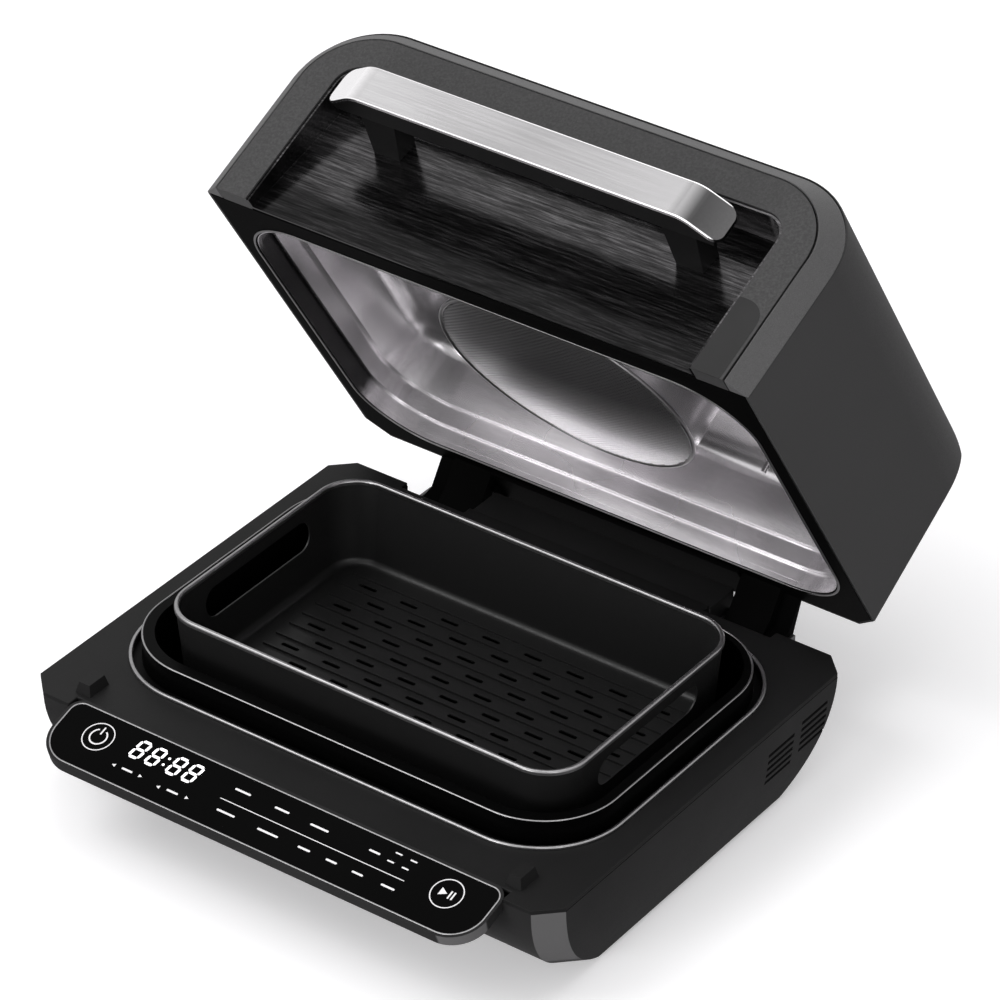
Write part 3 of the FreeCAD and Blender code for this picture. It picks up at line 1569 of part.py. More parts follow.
def fan_motor():
    body = new_body("fan_motor")
    sketch = new_sketch(body, "XY_Plane", "motor_low")
    disc(sketch, "0", "0", "motor_radius")
    pad(body, sketch, "motor_height")
    bore = new_sketch(body, "XY_Plane", "motor_low")
    disc(bore, "0", "0", "shaft_radius + shaft_fit")
    pocket(body, bore, "shaft_high - motor_low + overrun / 4", flip=True)
    keep("fan_motor", body, lid_placement() * fan_placement())


def motor_bracket():
    """Bridge that stands on the liner and carries the motor above the cooling fan."""
    body = new_body("motor_bracket")
    length = "bracket_half_length"
    width = "bracket_half_width"
    plate = new_sketch(body, "XY_Plane", "motor_low - bracket_plate")
    rectangle(plate, "-" + length, length, "-" + width, width)
    disc(plate, "0", "0", "impeller_hub")
    pad(body, plate, "bracket_plate")
    legs = new_sketch(body, "XY_Plane", "liner_height + liner_wall")
    for left, right in (("-" + length, "-%s + bracket_leg" % length), ("%s - bracket_leg" % length, length)):
        rectangle(legs, left, right, "-" + width, width)
    pad(body, legs, "motor_low - liner_height - liner_wall - bracket_plate")
    keep("motor_bracket", body, lid_placement() * fan_placement())


def temperature_probe():
    body = new_body("temperature_probe")
    sketch = new_sketch(body, "XY_Plane", "probe_low")
    disc(sketch, "probe_side", "-probe_back", "probe_radius")
    pad(body, sketch, "probe_top - probe_low")
    keep("temperature_probe", body, lid_placement())


# Hinge on the lid

def hinge_arms():
    """Arm that hangs from the lid, with its barrel on the pin."""
    body = new_body("hinge_arm_right")
    for start, length, setback in (("arm_inner", "arm_step - arm_inner", "0"),
                                   ("arm_step", "arm_outer - arm_step", "arm_setback")):
        side = new_sketch(body, "YZ_Plane", start)
        outline(side, [
            ("-arm_top_front + %s" % setback, "0"),
            (setback, "-arm_foot_drop"),
            ("axis_back - barrel_radius", "-axis_drop"),
            ("axis_back + barrel_radius", "-axis_drop"),
            ("-arm_top_back", "0"),
        ])
        pad(body, side, length)
    barrel = new_sketch(body, "YZ_Plane", "arm_inner")
    disc(barrel, "axis_back", "-axis_drop", "barrel_radius")
    pad(body, barrel, "arm_outer - arm_inner")
    bore = new_sketch(body, "YZ_Plane", "arm_inner")
    disc(bore, "axis_back", "-axis_drop", "pin_radius + arm_fit")
    pocket(body, bore, "arm_outer - arm_inner", flip=True)
    keep_pair("hinge_arm", body, lid_placement())


def hinge_cover():
    """Flap under the lid's back edge that covers the gap between the arms."""
    body = new_body("hinge_cover")
    sketch = new_sketch(body, "XY_Plane")
    half_width = "(arm_inner - flap_side_gap)"
    rectangle(sketch, "-" + half_width, half_width, "-flap_front", "flap_back")
    pad(body, sketch, "flap_thickness", flip=True)
    keep("hinge_cover", body, lid_placement())


# Build

def build_base():
    tub_solid = tub("tub_solid", "0")
    relief = panel_relief()
    base_shell(tub_solid, relief)
    deck_cover()
    seat_ring()
    heat_well()
    bottom_plate()
    for number, (side, end) in enumerate(BOTTOM_CORNERS, start=1):
        bottom_screw(number, side, end)
        foot(number, side, end)
    lid_bumpers()
    panel_housing(tub_solid, relief)
    panel_trim()
    touch_panel()
    display_board()
    power_board()
    hinge_brackets()
    hinge_pins()
    hinge_washers()
    rear_housing(tub_solid)
    mains_inlet()


def build_lid():
    lid_shell()
    fascia()
    fascia_inlay()
    trim_strip()
    recess_panel()
    handle_bar()
    handle_core()
    handle_posts()
    handle_screws()
    lid_frame()
    mouth_gasket()
    cavity_liner()
    fan_collar()
    fan_guard()
    heater_coil()
    fan_motor()
    motor_bracket()
    temperature_probe()
    hinge_arms()
    hinge_cover()


def check_objects():
    """Stop if any object failed to compute or any sub-part has no valid shape."""
    for item in document.Objects:
        if "Invalid" in item.State or "Error" in item.State:
            raise RuntimeError("failed: " + item.Label)
    for label, item in nodes.items():
        if item.Shape.isNull() or not item.Shape.isValid() or not item.Shape.Solids:
            raise RuntimeError("bad shape: " + label)


def centre_on_floor():
    """Move every sub-part so that the origin lies under the middle of the object."""
    limits = FreeCAD.BoundBox()
    for item in nodes.values():
        limits.add(item.Shape.optimalBoundingBox(False))
    shift = Placement(Vector(-limits.Center.x, -limits.Center.y, -limits.ZMin), Rotation())
    for label, item in nodes.items():
        if label.endswith("_left"):
            continue
        item.Placement = shift * item.Placement
    document.recompute()
    print("shift", [round(part, 4) for part in shift.Base])
    print("hinge", [round(value(HINGE_Y) + shift.Base.y, 4), round(value(HINGE_Z) + shift.Base.z, 4)])


build_base()
cooking_pot()
fry_basket()
basket_rim()
build_lid()
fan_wheels()
fan_shaft()
document.recompute()
check_objects()
centre_on_floor()
check_objects()
os.makedirs("parts", exist_ok=True)
for label, item in nodes.items():
    item.Shape.exportStep("parts/%s.step" % label)
print("sub-parts", len(nodes))
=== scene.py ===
import json
import math

import bmesh
import bpy
from mathutils import Matrix, Vector


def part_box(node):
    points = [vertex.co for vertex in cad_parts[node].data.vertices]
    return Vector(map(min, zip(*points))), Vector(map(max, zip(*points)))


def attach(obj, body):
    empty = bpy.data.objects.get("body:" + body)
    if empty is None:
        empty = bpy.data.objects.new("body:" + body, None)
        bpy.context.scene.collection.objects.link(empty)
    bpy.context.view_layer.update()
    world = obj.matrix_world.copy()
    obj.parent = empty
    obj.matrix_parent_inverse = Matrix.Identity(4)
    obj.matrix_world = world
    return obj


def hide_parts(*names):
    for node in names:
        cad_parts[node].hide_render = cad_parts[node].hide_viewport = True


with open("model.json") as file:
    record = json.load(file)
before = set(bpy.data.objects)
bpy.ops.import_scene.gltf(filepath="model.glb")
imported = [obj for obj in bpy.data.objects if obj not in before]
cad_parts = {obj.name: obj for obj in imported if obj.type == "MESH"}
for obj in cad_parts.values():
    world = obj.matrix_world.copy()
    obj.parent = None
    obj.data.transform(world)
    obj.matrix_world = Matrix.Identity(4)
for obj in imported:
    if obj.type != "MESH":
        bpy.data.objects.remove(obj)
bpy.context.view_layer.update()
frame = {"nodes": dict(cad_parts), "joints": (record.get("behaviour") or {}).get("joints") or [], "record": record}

# Air fryer grill, lid open, on a pale floor. Lengths are in metres in the frame of the model.

MM = 0.001


# Place of the lid: its own lengths are taken from its lower back edge while it is shut

PINS_TO_LID = (0.0, -14.2 * MM, 37.6 * MM)


def joint(name):
    """Entry of a joint in the model."""
    return next(entry for entry in frame["joints"] if entry["name"] == name)


def lid_matrix():
    """Matrix from the lengths of the shut lid to its place in the model, where it stands open."""
    hinge = joint("lid_hinge")
    swing = Matrix.Rotation(-math.radians(hinge["range_deg"][1]), 4, "X")
    return Matrix.Translation(hinge["pos_m"]) @ swing @ Matrix.Translation(PINS_TO_LID)


def lid_line(axis):
    """Direction of an axis of the shut lid in the model, and the level of the lid's back edge along it."""
    direction = lid_matrix().to_3x3() @ Vector(axis)
    return direction, lid_matrix().translation.dot(direction)


# Materials: one class builds the node tree, one short function per finish

NOISE_RANGE = (0.3, 0.7)
RAMP_MIDDLE = 0.5


class Finish:
    """A material under construction: a Principled shader and helpers that chain nodes onto it."""

    def __init__(self, name, color, roughness, metallic=0.0, specular=0.5):
        self.material = bpy.data.materials.new(name)
        self.material.use_nodes = True
        self.nodes = self.material.node_tree.nodes
        self.links = self.material.node_tree.links
        self.shader = self.nodes["Principled BSDF"]
        self.set("Base Color", (*color, 1.0))
        self.set("Roughness", roughness)
        self.set("Metallic", metallic)
        self.set("Specular IOR Level", specular)
        self.coordinates = self.nodes.new("ShaderNodeTexCoord").outputs["Object"]

    def set(self, socket, value):
        self.shader.inputs[socket].default_value = value

    def noise(self, scale, stretch=(1, 1, 1), detail=2.0, roughness=0.5):
        """Noise over the object; a small stretch along an axis draws the grain out along it."""
        mapping = self.nodes.new("ShaderNodeMapping")
        mapping.inputs["Scale"].default_value = stretch
        texture = self.nodes.new("ShaderNodeTexNoise")
        texture.inputs["Scale"].default_value = scale
        texture.inputs["Detail"].default_value = detail
        texture.inputs["Roughness"].default_value = roughness
        self.links.new(self.coordinates, mapping.inputs["Vector"])
        self.links.new(mapping.outputs["Vector"], texture.inputs["Vector"])
        return texture.outputs["Fac"]

    def cells(self, scale):
        """Distance to the middle of the nearest of many small cells."""
        texture = self.nodes.new("ShaderNodeTexVoronoi")
        texture.inputs["Scale"].default_value = scale
        self.links.new(self.coordinates, texture.inputs["Vector"])
        return texture.outputs["Distance"]

    def along(self, direction, start, end):
        """Share of the way from start to end along a direction in the object."""
        return self.spread(self.dot(self.coordinates, direction), 0.0, 1.0, start, end)

    def facing(self, direction, start, end):
        """Share by which the surface faces a direction: nought below a cosine, one above another."""
        normal = self.coordinates.node.outputs["Normal"]
        return self.spread(self.dot(normal, direction), 0.0, 1.0, start, end)

    def dot(self, source, direction):
        """Part of a vector that lies along a direction."""
        node = self.nodes.new("ShaderNodeVectorMath")
        node.operation = "DOT_PRODUCT"
        node.inputs[1].default_value = direction
        self.links.new(source, node.inputs[0])
        return node.outputs["Value"]

    def spread(self, source, low, high, start=NOISE_RANGE[0], end=NOISE_RANGE[1]):
        """Map a texture value from start..end to low..high."""
        node = self.nodes.new("ShaderNodeMapRange")
        for name, value in (("From Min", start), ("From Max", end), ("To Min", low), ("To Max", high)):
            node.inputs[name].default_value = value
        self.links.new(source, node.inputs["Value"])
        return node.outputs["Result"]

    def blend_colors(self, source, stops):
        """Color from a texture value through (position, color) stops."""
        node = self.nodes.new("ShaderNodeValToRGB")
        elements = node.color_ramp.elements
        while len(elements) < len(stops):
            elements.new(RAMP_MIDDLE)
        for element, (position, color) in zip(elements, stops):
            element.position = position
            element.color = (*color, 1.0)
        self.links.new(source, node.inputs["Fac"])
        return node.outputs["Color"]

    def mottled(self, source, level, shares):
        """Greys round a level from a texture value, through (position, share of the level) stops."""
        return self.blend_colors(source, [(position, grey(level * share)) for position, share in shares])

    def dimmed(self, color, source, least):
        """Color times a share that follows a texture value from a least share up to one."""
        low, high = NOISE_RANGE
        share = self.blend_colors(source, ((low, (least,) * 3), (high, (1.0,) * 3)))
        return self.mix("MULTIPLY", color, share)

    def mix(self, mode, first, second):
        """One color over another by a blend mode."""
        node = self.nodes.new("ShaderNodeMix")
        node.data_type = "RGBA"
        node.blend_type = mode
        node.inputs["Factor"].default_value = 1.0
        self.links.new(first, node.inputs["A"])
        self.links.new(second, node.inputs["B"])
        return node.outputs["Result"]

    def paint(self, color):
        self.links.new(color, self.shader.inputs["Base Color"])

    def rough(self, value):
        self.links.new(value, self.shader.inputs["Roughness"])

    def bump(self, height, strength, distance):
        """Bumps from a texture value, on top of any that the shader already has."""
        node = self.nodes.new("ShaderNodeBump")
        node.inputs["Strength"].default_value = strength
        node.inputs["Distance"].default_value = distance
        if self.shader.inputs["Normal"].is_linked:
            self.links.new(self.shader.inputs["Normal"].links[0].from_socket, node.inputs["Normal"])
        self.links.new(height, node.inputs["Height"])
        self.links.new(node.outputs["Normal"], self.shader.inputs["Normal"])


TINT = (1.0, 0.985, 1.0)
TOP_LEVEL = 255
CURVE_FOOT_SHARE = 0.04045
CURVE_FOOT_SLOPE = 12.92
CURVE_LIFT = 0.055
CURVE_POWER = 2.4


def grey(level):
    """Linear color from a display level between 0 and 255, with a slight tint."""
    share = level / TOP_LEVEL
    if share < CURVE_FOOT_SHARE:
        linear = share / CURVE_FOOT_SLOPE
    else:
        linear = ((share + CURVE_LIFT) / (1 + CURVE_LIFT)) ** CURVE_POWER
    return tuple(linear * part for part in TINT)


def shades(stops):
    """Grey stops from (share, level) pairs."""
    return [(share, grey(level)) for share, level in stops]


# In the values below, a grain is the strength and the depth of its bumps; a scale is a texture's, per metre

CLOUD_SCALE = 14.0
CLOUD_SHARES = ((0.35, 0.93), (0.65, 1.07))
PEBBLE_SCALE = 1500.0
PEBBLE_DEPTH = 0.12 * MM
PEBBLE_SWING = 0.06
# Painted highlight: faces turned to the front right, between these cosines, get a lighter level
LIT_CORNER_DIRECTION = (0.7071, -0.7071, 0.0)
LIT_CORNER_COSINES = (0.73, 0.78)


def moulded(name, level, roughness=0.5, specular=0.14, grain=0.12, corner=None):
    """Moulded plastic: fine pebbled grain, faint clouding; a corner level paints a highlight on its front right
    corner, lighter where it faces the front right.
    """
    finish = Finish(name, grey(level), roughness, specular=specular)
    tone = finish.mottled(finish.noise(CLOUD_SCALE, detail=3.0), level, CLOUD_SHARES)
    # Painted highlight on the front right corner, laid over the plastic's own tone
    if corner:
        share = finish.facing(LIT_CORNER_DIRECTION, *LIT_CORNER_COSINES)
        painted_highlight = finish.blend_colors(share, shades(((0.0, 0), (1.0, corner))))
        tone = finish.mix("LIGHTEN", tone, painted_highlight)
    finish.paint(tone)
    pebbles = finish.noise(PEBBLE_SCALE)
    finish.rough(finish.spread(pebbles, roughness - PEBBLE_SWING, roughness + PEBBLE_SWING))
    finish.bump(pebbles, grain, PEBBLE_DEPTH)
    return finish.material


FLAKE_SCALE = 2600.0
FLAKE_SHARES = ((0.38, 0.9), (0.62, 1.1))
PAINT_CLOUD_SCALE = 7.0
PAINT_CLOUD_SHARE = 0.93
PAINT_SHEEN_SCALE = 900.0
PAINT_SHEEN_SWING = 0.05
PAINT_GRAIN_SCALE = 1600.0
PAINT_GRAIN = (0.05, 0.1 * MM)


def painted(name, level, roughness=0.42, specular=0.18):
    """Satin paint: tiny flakes that vary in brightness."""
    finish = Finish(name, grey(level), roughness, specular=specular)
    flakes = finish.mottled(finish.noise(FLAKE_SCALE, detail=1.0), level, FLAKE_SHARES)
    finish.paint(finish.dimmed(flakes, finish.noise(PAINT_CLOUD_SCALE), PAINT_CLOUD_SHARE))
    sheen = finish.noise(PAINT_SHEEN_SCALE)
    finish.rough(finish.spread(sheen, roughness - PAINT_SHEEN_SWING, roughness + PAINT_SHEEN_SWING))
    finish.bump(finish.noise(PAINT_GRAIN_SCALE), *PAINT_GRAIN)
    return finish.material


SPECKLE_SCALE = 520.0
SPECKLE_SHARES = ((0.36, 0.88), (0.5, 1.0), (0.64, 1.14))
SPECKLE_ROUGHNESS = (0.42, 0.56)
SPECKLE_GRAIN_SCALE = 1100.0
SPECKLE_GRAIN = (0.18, 0.15 * MM)


def speckled(name, level):
    """Fascia finish: grey with a mottled speckle about a millimetre across."""
    finish = Finish(name, grey(level), 0.5, specular=0.2)
    speckle = finish.noise(SPECKLE_SCALE, detail=4.0, roughness=0.7)
    finish.paint(finish.mottled(speckle, level, SPECKLE_SHARES))
    finish.rough(finish.spread(speckle, *SPECKLE_ROUGHNESS))
    finish.bump(finish.noise(SPECKLE_GRAIN_SCALE, detail=3.0), *SPECKLE_GRAIN)
    return finish.material


STREAK_STOPS = (0.34, 0.5, 0.66)
STREAK_LENGTH_SHARE = 0.05
STREAK_ROUGHNESS = (-0.07, 0.09)
FINE_STREAK_TIMES = 5
FINE_LENGTH_SHARE = 0.4
FINE_STREAK_SHARE = 0.86
GROOVE_DEPTH = 0.1 * MM
# Painted shade: the levels above the lid's back edge over which the foot darkens, and its shades
SHADED_FOOT_LEVELS = (24.0 * MM, 36.0 * MM)
FOOT_SHADOW_SHADES = ((0.0, 150), (1.0, 255))


def brushed(name, levels, roughness, scale=160.0, metallic=1.0, groove=0.12, anisotropy=0.5, shaded_foot=False):
    """Brushed metal with streaks along X; a shaded foot is painted shade, darkening the stretch next to the mouth
    of the lid where the handle's reflection and shadow fall.
    """
    finish = Finish(name, grey(levels[1]), roughness, metallic=metallic)
    length = STREAK_LENGTH_SHARE
    streak = finish.noise(scale, stretch=(length, 1.0, 1.0), detail=6.0, roughness=0.75)
    fine = finish.noise(scale * FINE_STREAK_TIMES, stretch=(length * FINE_LENGTH_SHARE, 1.0, 1.0))
    tone = finish.blend_colors(streak, shades(zip(STREAK_STOPS, levels)))
    tone = finish.dimmed(tone, fine, FINE_STREAK_SHARE)
    # Painted shade and reflection of the handle on the panel's foot
    if shaded_foot:
        direction, edge = lid_line((0, 0, 1))
        place = finish.along(direction, edge + SHADED_FOOT_LEVELS[0], edge + SHADED_FOOT_LEVELS[1])
        tone = finish.mix("MULTIPLY", tone, finish.blend_colors(place, shades(FOOT_SHADOW_SHADES)))
    finish.paint(tone)
    finish.rough(finish.spread(streak, roughness + STREAK_ROUGHNESS[0], roughness + STREAK_ROUGHNESS[1]))
    finish.bump(fine, groove, GROOVE_DEPTH)
    finish.set("Anisotropic", anisotropy)
    return finish.material


HANDLE_REACH = 160.0 * MM
# Painted reflection along the handle: bright at its left end, dark on its right facet
HANDLE_REFLECTION_SHADES = ((0.0, 255), (0.07, 250), (0.1, 206), (0.5, 174), (0.88, 170), (0.93, 66), (1.0, 92))
HANDLE_UP = (0.0, 0.9055, 0.4244)
HANDLE_LEVELS = (209.3 * MM, 238.3 * MM)
# Painted highlights: thin bright bands at the plate's long edges
HANDLE_HIGHLIGHT_SHADES = ((0.0, 255), (0.03, 255), (0.05, 0), (0.965, 0), (0.98, 235), (1.0, 235))
HANDLE_GRAIN_SCALE = 900.0
HANDLE_GRAIN_SHARE = 0.93
HANDLE_GRAIN = (0.03, 0.1 * MM)
HANDLE_ROUGHNESS = (0.17, 0.27)


def handle_plate(name):
    """Finely brushed plate with painted highlights along its long edges and a painted reflection: brighter at its
    left end, darker at its right.
    """
    finish = Finish(name, grey(190), 0.22, metallic=1.0)
    # Painted reflection from one end of the handle to the other
    painted_reflection = finish.blend_colors(finish.along((1, 0, 0), -HANDLE_REACH, HANDLE_REACH), shades(HANDLE_REFLECTION_SHADES))
    grain = finish.noise(HANDLE_GRAIN_SCALE, stretch=(0.02, 1.0, 1.0), detail=3.0)
    plate = finish.dimmed(painted_reflection, grain, HANDLE_GRAIN_SHARE)
    # Painted highlights along the long edges
    edge_highlights = finish.blend_colors(finish.along(HANDLE_UP, *HANDLE_LEVELS), shades(HANDLE_HIGHLIGHT_SHADES))
    finish.paint(finish.mix("LIGHTEN", plate, edge_highlights))
    finish.rough(finish.spread(grain, *HANDLE_ROUGHNESS))
    finish.bump(grain, *HANDLE_GRAIN)
    return finish.material


# Painted shade on the lining's left wall, and painted reflections as clouds of light and dark
LINING_SHADE_REACH = (-205.0 * MM, -195.0 * MM)
LINING_SIDE_SHADOW_SHADES = ((0.0, 62), (0.12, 62), (0.44, 255))
LINING_REFLECTION_SCALE = 7.0
LINING_REFLECTION_STRETCH = (0.7, 1.4, 1.4)
LINING_REFLECTION_SHADES = ((0.22, 70), (0.5, 205), (0.72, 255))
LINING_GRAIN_SCALE = 420.0
LINING_GRAIN_SHARE = 0.92
LINING_SHEEN_SCALE = 9.0
LINING_ROUGHNESS = (0.19, 0.3)
LINING_WAVE_SCALE = 11.0
LINING_WAVES = (0.3, 4.0 * MM)


def lining(name):
    """Bright lining of the lid with painted reflections in cloudy light and dark patches, and painted shade on its
    left wall up to the first step.
    """
    finish = Finish(name, grey(230), 0.2, metallic=0.8)
    # Painted shade on the left wall up to the first step
    side_shade = finish.blend_colors(finish.along((1, 0, 0), *LINING_SHADE_REACH), shades(LINING_SIDE_SHADOW_SHADES))
    # Painted reflections: cloudy patches of light and dark
    reflection_cloud = finish.noise(LINING_REFLECTION_SCALE, stretch=LINING_REFLECTION_STRETCH, detail=1.5)
    tone = finish.mix("MULTIPLY", side_shade, finish.blend_colors(reflection_cloud, shades(LINING_REFLECTION_SHADES)))
    grain = finish.noise(LINING_GRAIN_SCALE, stretch=(0.2, 1.0, 1.0), detail=4.0)
    finish.paint(finish.dimmed(tone, grain, LINING_GRAIN_SHARE))
    finish.rough(finish.spread(finish.noise(LINING_SHEEN_SCALE), *LINING_ROUGHNESS))
    finish.bump(finish.noise(LINING_WAVE_SCALE, detail=1.0), *LINING_WAVES)
    return finish.material


GUARD_FRONT = 269.3 * MM
GUARD_BACK = 67.7 * MM
# Painted reflection across the guard, from the front of the lid to the hinge
GUARD_REFLECTION_SHADES = ((0.0, 160), (0.4, 140), (0.6, 205), (0.78, 255), (1.0, 255))
GUARD_GRAIN_SCALE = 420.0
GUARD_GRAIN_SHARE = 0.9


def guard_plate(name):
    """Perforated sheet with a painted reflection: bright towards the hinge, dark towards the front of the lid."""
    finish = Finish(name, grey(200), 0.3, metallic=0.9)
    direction, edge = lid_line((0, 1, 0))
    # Painted reflection by place along the lid
    place = finish.along(direction, edge - GUARD_FRONT, edge - GUARD_BACK)
    grain = finish.noise(GUARD_GRAIN_SCALE, detail=3.0)
    finish.paint(finish.dimmed(finish.blend_colors(place, shades(GUARD_REFLECTION_SHADES)), grain, GUARD_GRAIN_SHARE))
    return finish.material


POLISH_SCALE = 420.0
POLISH_SHARES = ((0.3, 0.94), (0.7, 1.02))
POLISH_GRAIN = (0.04, 0.1 * MM)
SMEAR_SCALE = 9.0
SMEAR_ROUGHNESS = (-0.04, 0.07)


def polished(name, level, roughness):
    """Bright metal with a faint grain."""
    finish = Finish(name, grey(level), roughness, metallic=1.0)
    grain = finish.noise(POLISH_SCALE, detail=4.0)
    smear = finish.noise(SMEAR_SCALE)
    finish.rough(finish.spread(smear, roughness + SMEAR_ROUGHNESS[0], roughness + SMEAR_ROUGHNESS[1]))
    finish.paint(finish.mottled(grain, level, POLISH_SHARES))
    finish.bump(grain, *POLISH_GRAIN)
    return finish.material


FLECK_SCALE = 900.0
FLECK_SHARES = ((0.03, 2.0), (0.09, 1.0))
PEEL_SCALE = 700.0
PEEL_ROUGHNESS = (-0.05, 0.08)
PEEL_GRAIN = (0.08, 0.2 * MM)


def coated(name, level, roughness=0.32, specular=0.15):
    """Non-stick coating: near black, fine orange peel, sparse pale flecks."""
    finish = Finish(name, grey(level), roughness, specular=specular)
    finish.paint(finish.mottled(finish.cells(FLECK_SCALE), level, FLECK_SHARES))
    peel = finish.noise(PEEL_SCALE)
    finish.rough(finish.spread(peel, roughness + PEEL_ROUGHNESS[0], roughness + PEEL_ROUGHNESS[1]))
    finish.bump(peel, *PEEL_GRAIN)
    return finish.material


GLASS_SMEAR_SCALE = 25.0
GLASS_ROUGHNESS = (0.06, 0.14)
GLASS_CLOUD_SCALE = 6.0
GLASS_SHADES = ((0.3, 3), (0.7, 5))


def glossy_glass(name):
    """Black glass with a hard clear surface and the faintest smears."""
    finish = Finish(name, grey(4), 0.1, specular=0.03)
    finish.rough(finish.spread(finish.noise(GLASS_SMEAR_SCALE, detail=4.0), *GLASS_ROUGHNESS))
    finish.paint(finish.blend_colors(finish.noise(GLASS_CLOUD_SCALE), shades(GLASS_SHADES)))
    return finish.material


PRINT_DOT_SCALE = 1800.0
PRINT_SHARES = ((0.3, 0.9), (0.7, 1.0))


def printed(name, level, glow):
    """Light grey print, slightly lit from behind."""
    finish = Finish(name, grey(level), 0.5)
    finish.paint(finish.mottled(finish.noise(PRINT_DOT_SCALE, detail=1.0), level, PRINT_SHARES))
    finish.set("Emission Color", (*grey(level), 1.0))
    finish.set("Emission Strength", glow)
    return finish.material


BOARD_COLOR = (0.01, 0.09, 0.04)
TRACE_SCALE = 120.0
TRACE_STRETCH = (1.0, 0.2, 1.0)
TRACE_COLORS = ((0.46, (0.008, 0.06, 0.03)), (0.54, (0.015, 0.12, 0.05)))


def circuit(name):
    """Solder mask with darker traces."""
    finish = Finish(name, BOARD_COLOR, 0.4, specular=0.5)
    traces = finish.noise(TRACE_SCALE, stretch=TRACE_STRETCH, detail=1.0)
    finish.paint(finish.blend_colors(traces, TRACE_COLORS))
    return finish.material


RUBBER_SCALE = 1200.0
RUBBER_SHADES = ((0.3, 26), (0.7, 34))
RUBBER_GRAIN = (0.3, 0.2 * MM)


def rubbery(name):
    """Matt rubber with a coarse grain."""
    finish = Finish(name, grey(30), 0.8, specular=0.25)
    grain = finish.noise(RUBBER_SCALE, detail=3.0)
    finish.paint(finish.blend_colors(grain, shades(RUBBER_SHADES)))
    finish.bump(grain, *RUBBER_GRAIN)
    return finish.material


FINISHES = {
    # The base's front right corner carries a painted highlight at level 90
    "base_plastic": moulded("base_plastic", 36, roughness=0.46, specular=0.06, corner=90),
    "deck_plastic": moulded("deck_plastic", 24, roughness=0.5, specular=0.12),
    "plate_plastic": moulded("plate_plastic", 20, roughness=0.6),
    "bright_metal": polished("bright_metal", 150, 0.3),
    "well_steel": coated("well_steel", 6, 0.45, specular=0.06),
    "pot_coating": coated("pot_coating", 3, 0.34, specular=0.03),
    "basket_coating": coated("basket_coating", 23, 0.36, specular=0.3),
    "panel_glass": glossy_glass("panel_glass"),
    "circuit_board": circuit("circuit_board"),
    "rubber": rubbery("rubber"),
    "fastener_steel": polished("fastener_steel", 150, 0.35),
    "hinge_steel": brushed("hinge_steel", (110, 130, 150), 0.4),
    "inlet_plastic": moulded("inlet_plastic", 24, roughness=0.5),
    "lid_paint": painted("lid_paint", 60, specular=0.08),
    "strip_paint": painted("strip_paint", 86, roughness=0.4),
    "fascia_finish": speckled("fascia_finish", 60),
    "inlay_plastic": moulded("inlay_plastic", 42, roughness=0.4, grain=0.05),
    # The recess panel's foot carries painted shade
    "panel_steel": brushed("panel_steel", (30, 66, 112), 0.16, scale=560.0, metallic=0.92, groove=0.02,
                           anisotropy=0.0, shaded_foot=True),
    "handle_metal": handle_plate("handle_metal"),
    "handle_plastic": moulded("handle_plastic", 12, roughness=0.42, specular=0.1),
    "frame_plastic": moulded("frame_plastic", 9, roughness=0.5, specular=0.01),
    "liner_metal": lining("liner_metal"),
    "guard_metal": guard_plate("guard_metal"),
    "heater_steel": polished("heater_steel", 90, 0.42),
    "motor_steel": painted("motor_steel", 120),
    "fan_aluminium": polished("fan_aluminium", 190, 0.35),
    "probe_steel": polished("probe_steel", 190, 0.22),
}


# Sub-parts from the model: a finish each, rounded edges and even shading

EDGE_ROUNDING = {
    "lid_shell": 1.6, "trim_strip": 0.7, "fascia": 0.7, "base_shell": 1.6, "deck_cover": 1.0,
    "panel_housing": 1.6, "handle_bar": 0.7, "handle_core": 1.0, "handle_post_right": 2.0,
    "handle_post_left": 2.0, "lid_bumper_right": 1.0, "lid_bumper_left": 1.0, "recess_panel": 0.5,
    "hinge_arm_right": 1.5, "hinge_arm_left": 1.5, "lid_frame": 0.8, "hinge_cover": 0.8,
    "rear_housing": 1.5, "foot_1": 1.0, "foot_2": 1.0, "foot_3": 1.0, "foot_4": 1.0,
}
PLAIN_EDGE = 0.3
EDGE_SEGMENTS = 3
SHARP_ANGLE = math.radians(32)
WELD_REACH = 0.01 * MM
LARGE_FACE_WEIGHT = 100


def round_edges(item, width):
    """Round a piece's sharp edges and shade its large faces evenly."""
    weld = item.modifiers.new("weld", "WELD")
    weld.merge_threshold = WELD_REACH
    bevel = item.modifiers.new("edges", "BEVEL")
    bevel.width = width
    bevel.segments = EDGE_SEGMENTS
    bevel.limit_method = "ANGLE"
    bevel.angle_limit = SHARP_ANGLE
    bevel.use_clamp_overlap = True
    bevel.harden_normals = False
    even = item.modifiers.new("even", "WEIGHTED_NORMAL")
    even.weight = LARGE_FACE_WEIGHT


def dress_nodes():
    """Give each sub-part the finish of its slot in the record."""
    slots = {row["node"]: row["material_slot"] for row in frame["record"]["subparts"]}
    for name, item in frame["nodes"].items():
        finish = FINISHES[slots[name]]
        for place in item.material_slots:
            place.material = finish
        item.data.shade_smooth()
        round_edges(item, EDGE_ROUNDING.get(name, PLAIN_EDGE) * MM)


# Guard of the fan: a domed sheet of fine holes in a rolled rim, in place of the coarse one of the model

GUARD_PITCH = 3.2 * MM
GUARD_HOLE_SHARE = 0.64
GUARD_SHEET = 0.6 * MM
GUARD_BULGE = 6.0 * MM
GUARD_RIM = 3.2 * MM
GUARD_RIM_STEPS = 160
GUARD_ROW = GUARD_PITCH * math.sqrt(0.75)
GUARD_WELD = GUARD_PITCH * 0.02
ROUND_SIDES = 10
GUARD_LATTICE_TURN = math.radians(20)
HEXAGON = [math.radians(30 + 60 * corner) for corner in range(6)]


